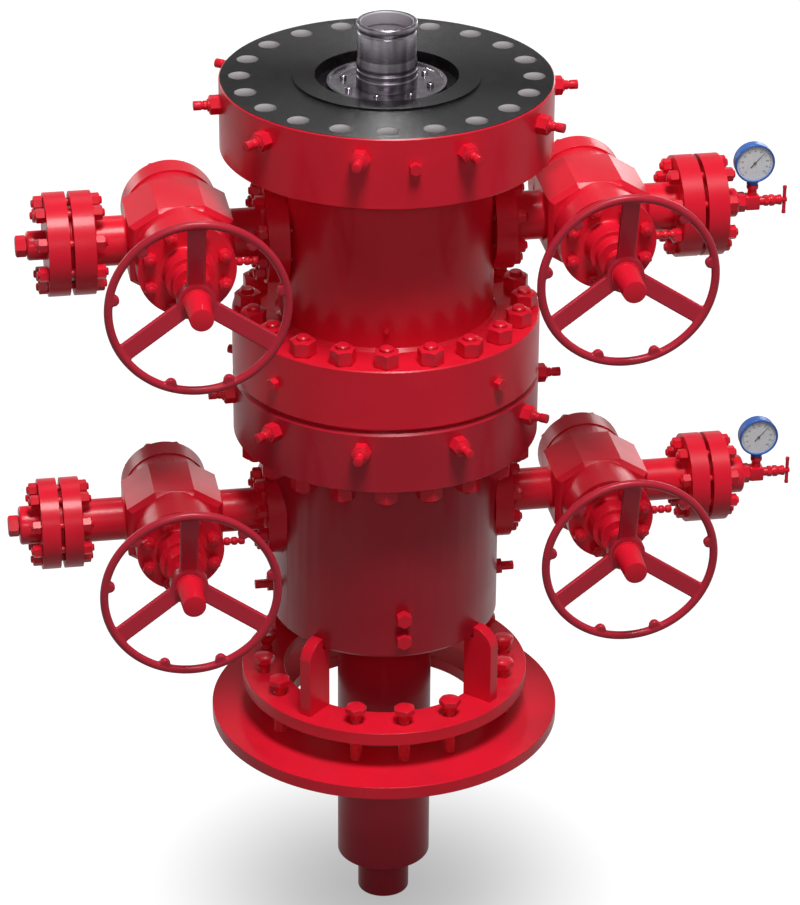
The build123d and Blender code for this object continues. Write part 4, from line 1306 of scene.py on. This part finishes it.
@dataclass
class PressureGauge:
    """Round gauge with a blue case, white dial, pointer and glass, facing the front."""

    rings: RingTree
    row: Row
    radius: float = 0.048
    dial_radius: float = 0.0432
    dial_level: float = 0.0295
    glass_level: float = 0.0315
    stem_radius: float = 0.011
    collar: float = 0.0035
    sweep: float = 270.0
    marks: int = 51
    marks_per_number: int = 5
    mark_radius: float = 0.0392
    number_radius: float = 0.0305
    number_height: float = 0.0062
    ink_thickness: float = 0.0004
    pointer_angle: float = 48.0
    boss_radius: float = 0.0038
    boss_height: float = 0.0012
    boss_ease: float = 0.0004

    @property
    def name(self) -> str:
        """Name that the gauge's pieces begin with."""
        return f"{self.row.value}_gauge"

    def build(self) -> None:
        """Builds the case, dial, marks, pointer and glass."""
        node = f"{self.row.value}_pressure_gauge"
        low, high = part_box(node)
        x, z = (low.x + high.x) / 2, high.z - self.radius
        place, upright = facing(FRONT, (x, high.y, z)), facing(UP, (x, (low.y + high.y) / 2, low.z))
        case = merged([(lathe(self.case_outline(), 72, 0.0008), place),
                       (pin(self.stem_radius, z - low.z, 0.001), upright),
                       (pin(self.stem_radius + self.collar, 2 * self.collar, 0.001, 6),
                        upright @ at(self.collar / 2))])
        dial = merged([(pin(self.dial_radius, self.ink_thickness, segments=72),
                        place @ at(self.dial_level - self.ink_thickness))])
        glass = merged([(lathe([(self.dial_radius, 0.0), (self.dial_radius, 0.0010), (0.030, 0.0016),
                                (0.0, 0.0019)], 72), place @ at(self.glass_level))])
        for part, shape, finish, nodes in (
                ("case", case, Finish.GAUGE_BLUE, (node,)), ("dial", dial, Finish.DIAL_WHITE, ()),
                ("marks", self.scale(place), Finish.INK, ()), ("glass", glass, Finish.GLASS, ())):
            new_piece(f"{self.name}_{part}", shape, finish, nodes, Slot.BLUE)

    def case_outline(self) -> Outline:
        """Outline of the case from its back to the dial's seat.

        Returns:
            (radius, height) points.
        """
        rim, wall = self.radius, self.radius - 0.0015
        lip = wall - 0.003
        return [(rim - 0.006, 0.0), (wall, 0.005), (wall, 0.024), (rim, 0.0255), (rim, 0.0325), (wall, 0.034),
                (lip, 0.034), (lip, self.dial_level - self.ink_thickness)]

    def scale(self, place: Matrix) -> Mesh:
        """Marks, numbers and pointer of the dial.

        Args:
            place: placement of the gauge.

        Returns:
            The mesh in the row frame.
        """
        face = place @ at(self.dial_level)
        up = turn_to(place, UP)
        first = up + self.sweep / 2
        step = -self.sweep / (self.marks - 1)
        bold_step = step * self.marks_per_number
        bold_count = (self.marks - 1) // self.marks_per_number + 1
        thick, name = self.ink_thickness, f"{self.name}_scale"
        marks = ((0.0025, 0.00045, 0.0, self.marks, step), (0.0045, 0.0009, -0.001, bold_count, bold_step))
        meshes = []
        for length, width, shift, count, turn in marks:
            mark = block((length, width, thick), (shift, 0.0, thick / 2))
            meshes.append(self.rings.ring(name, mark, face, Finish.INK, count, self.mark_radius, first, turn))
        upright = Matrix.Rotation(math.radians(up - 90.0), 4, "Z")
        for k in range(bold_count):
            angle = math.radians(first + bold_step * k)
            spot = (self.number_radius * math.cos(angle), self.number_radius * math.sin(angle), 0.0)
            meshes.append(self.number(str(k * 10)))
            meshes[-1].transform(face @ Matrix.Translation(spot) @ upright)
        return joined_mesh(name, meshes + [self.pointer(place)])

    def number(self, text: str) -> Mesh:
        """One number of the dial, flat at the origin.

        Args:
            text: its digits.

        Returns:
            The mesh.
        """
        curve = bpy.data.curves.new(f"number_{text}", "FONT")
        curve.body = text
        curve.size = self.number_height
        curve.align_x = curve.align_y = "CENTER"
        curve.extrude = self.ink_thickness / 2
        return baked(put_in_scene(f"number_{text}", curve), f"number_{text}_mesh")

    def pointer(self, place: Matrix) -> Mesh:
        """Tapered pointer on a round boss.

        Args:
            place: placement of the gauge.

        Returns:
            The mesh in the row frame.
        """
        tail, tip, wide, point = 0.014, 0.034, 0.0016, 0.0003
        work = bmesh.new()
        outline = ((-tail, wide), (-tail, -wide), (tip, -point), (tip, point))
        levels = (0.0, self.ink_thickness)
        low, high = ([work.verts.new((x, y, level)) for x, y in outline] for level in levels)
        work.faces.new(high)
        work.faces.new(list(reversed(low)))
        for i in range(4):
            j = (i + 1) % 4
            work.faces.new((low[i], low[j], high[j], high[i]))
        bmesh.ops.recalc_face_normals(work, faces=work.faces)
        slant = math.radians(self.pointer_angle)
        spin = Matrix.Rotation(math.radians(turn_to(place, (math.cos(slant), 0.0, math.sin(slant)))), 4, "Z")
        boss = pin(self.boss_radius, self.boss_height, self.boss_ease)
        solid = merged([(work, spin), (boss, at(0.0))])
        solid.transform(place @ at(self.dial_level + self.ink_thickness))
        return mesh_from(solid, f"{self.name}_pointer")


@dataclass
class EndFittings:
    """Plug at the left end of a row, and union, tee, needle valve and handle at its right end."""

    row: Row
    plug_flats: float = 0.044
    plug_length: float = 0.026
    collar_size: tuple[float, float] = (0.034, 0.043)
    boss_size: tuple[float, float] = (0.046, 0.048)
    union_flats: float = 0.042
    union_length: float = 0.021
    tee_size: float = 0.034
    arm_length: float = 0.026
    arm_radius: float = 0.011
    body_radius: float = 0.014
    body_length: float = 0.028
    stem_radius: float = 0.006
    stem_stand: float = 0.014
    stem_gap: float = 0.0003
    bar_radius: float = 0.005
    bar_span: float = 0.070
    bar_knob: float = 0.006
    socket: float = 0.018
    rib: float = 0.003
    bevel: float = 0.004

    @property
    def foot(self) -> tuple[float, float]:
        """Radius and length of the fitting's foot on the blind flange."""
        return self.boss_size if self.row is Row.LOWER else self.collar_size

    def build(self) -> None:
        """Builds both ends, each on the outer face of its blind flange."""
        row, size, paint = self.row.value, ROW_SIZES[self.row], Finish.BODY_RED
        left, right = (facing((way.value, 0.0, 0.0), (way.value * size.end, 0.0, size.level)) for way in Side)
        head = hex_nut(self.plug_flats, self.plug_length)
        plug = merged([(self.collar(), left), (head, left @ at(self.foot[1]))])
        new_piece(f"{row}_plug_dressed", plug, paint, (f"{row}_end_plug",))
        new_piece(f"{row}_needle_dressed", self.needle(right), paint, (f"{row}_needle_valve",), Slot.STEEL)
        new_piece(f"{row}_bar_dressed", self.handle(right), paint, (f"{row}_needle_handle",), Slot.STEEL,
                  f"{row}_handle")

    def collar(self) -> Solid:
        """Turned foot with a bevelled edge, standing on Z = 0."""
        (radius, length), bevel = self.foot, self.bevel
        return lathe([(radius, 0.0), (radius, length - bevel), (radius - bevel, length)], 48, 0.0012)

    def needle(self, place: Matrix) -> Solid:
        """Union, tee and needle valve body.

        Args:
            place: placement on the blind flange, with Z outwards.

        Returns:
            The solids in the row frame.
        """
        length, half = self.foot[1], self.tee_size / 2
        tee = length + self.union_length + half
        arm = tee + half
        up = Matrix.Translation(place @ Vector((0.0, 0.0, tee)))
        neck, rib, body, seat = self.arm_radius, self.rib, self.body_radius, self.arm_length
        riser, tail, mouth = half + seat, seat + self.body_length, self.stem_radius + self.stem_gap
        riser_outline = [(neck, 0.0), (neck, riser - 4 * rib), (neck + rib, riser - 3 * rib),
                         (neck + rib, riser)]
        arm_outline = [(neck, 0.0), (neck, seat), (body, seat), (body, seat + 3 * rib),
                       (body - rib, seat + 4 * rib), (body - rib, tail - 3 * rib),
                       (body - rib / 2, tail - 2 * rib), (body - rib / 2, tail), (mouth, tail),
                       (mouth, tail - self.socket)]
        return merged([(self.collar(), place),
                       (hex_nut(self.union_flats, self.union_length), place @ at(length)),
                       (block((self.tee_size,) * 3, (0.0, 0.0, 0.0), 0.004), up),
                       (lathe(riser_outline, 28, 0.001), up),
                       (lathe(arm_outline, 28, 0.0008), place @ at(arm)),
                       (hex_nut(2.1 * neck, 4 * rib), place @ at(arm + seat - 5 * rib))])

    def handle(self, place: Matrix) -> Solid:
        """Stem with its cross bar.

        Args:
            place: placement on the blind flange, with Z outwards.

        Returns:
            The solids in the row frame.
        """
        mouth = self.foot[1] + self.union_length + self.tee_size + self.arm_length + self.body_length
        root, tip = mouth - self.socket + self.stem_gap, mouth + self.stem_stand
        bar, waist, half, knob = self.bar_radius, 0.86 * self.bar_radius, self.bar_span / 2, self.bar_knob
        outline = [(bar, -half), (bar, knob - half), (waist, knob + 0.002 - half),
                   (waist, half - knob - 0.002), (bar, half - knob), (bar, half)]
        upright = Matrix.Translation(place @ Vector((0.0, 0.0, tip - self.stem_radius)))
        return merged([(pin(self.stem_radius, tip - root, 0.001), place @ at(root)),
                       (lathe(outline, 24, 0.0015), upright)])


@dataclass(frozen=True)
class Lamp:
    """Soft round lamp that points at the well's axis, in metres and watts."""

    name: str
    place: Point
    target_height: float
    size: float
    power: float

    def hang(self) -> None:
        """Adds the lamp to the scene."""
        light = bpy.data.lights.new(self.name, "AREA")
        light.shape = "DISK"
        light.size = self.size
        light.energy = self.power
        lamp = put_in_scene(self.name, light)
        lamp.location = self.place
        aim = Vector((0.0, 0.0, self.target_height)) - Vector(self.place)
        lamp.rotation_euler = aim.to_track_quat("-Z", "Y").to_euler()


@dataclass
class Studio:
    """Pale floor, soft lamps and the camera of the photograph."""

    floor_level: float
    lamps: tuple[Lamp, ...] = (
        Lamp("key", (0.6, -4.4, 13.7), 1.0, 4.6, 1750.0),
        Lamp("front_fill", (-1.2, -7.2, 4.6), 1.0, 1.4, 65.0),
        Lamp("back_glint", (1.0, 6.0, 7.4), 1.6, 0.9, 70.0),
        Lamp("back_left_fill", (-4.0, 6.0, 2.0), 0.9, 2.4, 50.0),
        Lamp("back_right_fill", (4.0, 6.0, 2.0), 0.9, 2.4, 50.0),
        Lamp("left_fill", (-5.5, -3.0, 3.5), 0.9, 2.4, 8.0),
        Lamp("right_fill", (5.5, -2.0, 3.5), 0.9, 2.4, 18.0))
    camera_place: Point = (-1.336, -8.005, 4.823)
    camera_forward: Point = (0.1507, 0.8792, -0.4520)
    camera_right: Point = (0.98563, -0.16894, 0.0)
    camera_roll: float = 0.372
    focal_pixels: float = 3801.94
    image_height: int = 905
    floor_size: float = 60.0
    floor_grey: Colour = (0.10, 0.10, 0.10)
    floor_glow: float = 1.10
    # painted soft shadow round the foot: the glow's share grows from the foot out to this radius
    painted_shadow_core: float = 0.02
    painted_shadow_radius: float = 0.78
    painted_shadow_glow_share: float = 0.42
    mirror_share: float = 0.60
    horizon: float = 0.14
    overhead: float = 0.36
    overhead_share: float = 0.22
    world_tint: Colour = (0.97, 0.97, 1.0)
    world_light: float = 0.06
    white: Colour = (1.0, 1.0, 1.0)

    def build(self) -> None:
        """Builds floor, lamps, world and camera."""
        self.floor()
        for lamp in self.lamps:
            lamp.hang()
        self.world()
        self.camera()

    def background_rays(self, nodes: NodeBuilder) -> Signal:
        """Adds the rays that show the background.

        Args:
            nodes: the builder of the tree.

        Returns:
            One for the camera's rays and a large share for those of metal and glass.
        """
        names = ("Is Camera Ray", "Is Glossy Ray", "Is Transmission Ray")
        camera, mirror, through = (nodes.add("ShaderNodeLightPath", output=name) for name in names)
        return camera.apply("MAXIMUM", mirror.apply("MAXIMUM", through) * self.mirror_share)

    def floor(self) -> None:
        """Adds the floor: white to the camera, with a painted soft shadow round its foot, where less glow
        lets the object's own shadow show.
        """
        work = bmesh.new()
        bmesh.ops.create_grid(work, x_segments=1, y_segments=1, size=self.floor_size / 2,
                              matrix=at(self.floor_level))
        plane = put_in_scene("floor", mesh_from(work, "floor"))
        recipe = Recipe("floor_white")
        x, y, _ = recipe.axes()
        # painted shadow: less glow near the foot darkens the floor there, over the object's own shadow
        share = recipe.span(x.hypot(y), self.painted_shadow_core, self.painted_shadow_radius, self.painted_shadow_glow_share, 1.0,
                            "SMOOTHSTEP")
        lit = recipe.add("ShaderNodeBsdfDiffuse", inputs={"Color": self.floor_grey})
        glow = recipe.add("ShaderNodeEmission", inputs={"Color": self.white, "Strength": self.floor_glow})
        mix = {0: share * self.background_rays(recipe), 1: lit, 2: glow}
        plane.data.materials.append(recipe.finish(recipe.add("ShaderNodeMixShader", inputs=mix)))

    def world(self) -> None:
        """Sets the plain pale world: white near the horizon, dimmer overhead and as a light."""
        world = bpy.data.worlds.new("studio")
        world.use_nodes = True
        bpy.context.scene.world = world
        nodes = NodeBuilder(world.node_tree)
        dim, white = (nodes.add("ShaderNodeBackground", inputs={"Color": colour, "Strength": strength})
                      for colour, strength in ((self.world_tint, self.world_light), (self.white, 1.0)))
        where = nodes.add("ShaderNodeTexCoord", output="Generated")
        height = nodes.add("ShaderNodeSeparateXYZ", inputs={0: where}, output="Z")
        share = nodes.span(height, self.horizon, self.overhead, 1.0, self.overhead_share)
        mix = {0: share * self.background_rays(nodes), 1: dim, 2: white}
        nodes.add("ShaderNodeOutputWorld", inputs={"Surface": nodes.add("ShaderNodeMixShader", inputs=mix)})

    def camera(self) -> None:
        """Places the camera as the photograph's was."""
        forward = Vector(self.camera_forward).normalized()
        right = Vector(self.camera_right).normalized()
        up = right.cross(forward).normalized()
        roll = math.radians(self.camera_roll)
        across = right * math.cos(roll) + up * math.sin(roll)
        rise = up * math.cos(roll) - right * math.sin(roll)
        data = bpy.data.cameras.new("photo_camera")
        data.sensor_width = 36.0
        data.lens = self.focal_pixels * data.sensor_width / self.image_height
        data.clip_end = 200.0
        camera = put_in_scene("photo_camera", data)
        turn = Matrix((across, rise, -forward)).transposed().to_4x4()
        camera.matrix_world = Matrix.Translation(self.camera_place) @ turn
        bpy.context.scene.camera = camera


def main() -> None:
    """Builds the classes in order."""
    rings = RingTree()
    LandingBase(rings).build()
    Bodies(rings).build()
    Hanger(rings).build()
    for row in Row:
        for side in Side:
            Branch(rings, row, side).build()
        PressureGauge(rings, row).build()
        EndFittings(row).build()
    GreaseFittings().build()
    floor_gap = 0.002
    Studio(floor_level=CAD_BOX[0].z - floor_gap).build()
    bpy.context.scene.view_settings.view_transform = "Standard"


if __name__ == "__main__":
    main()
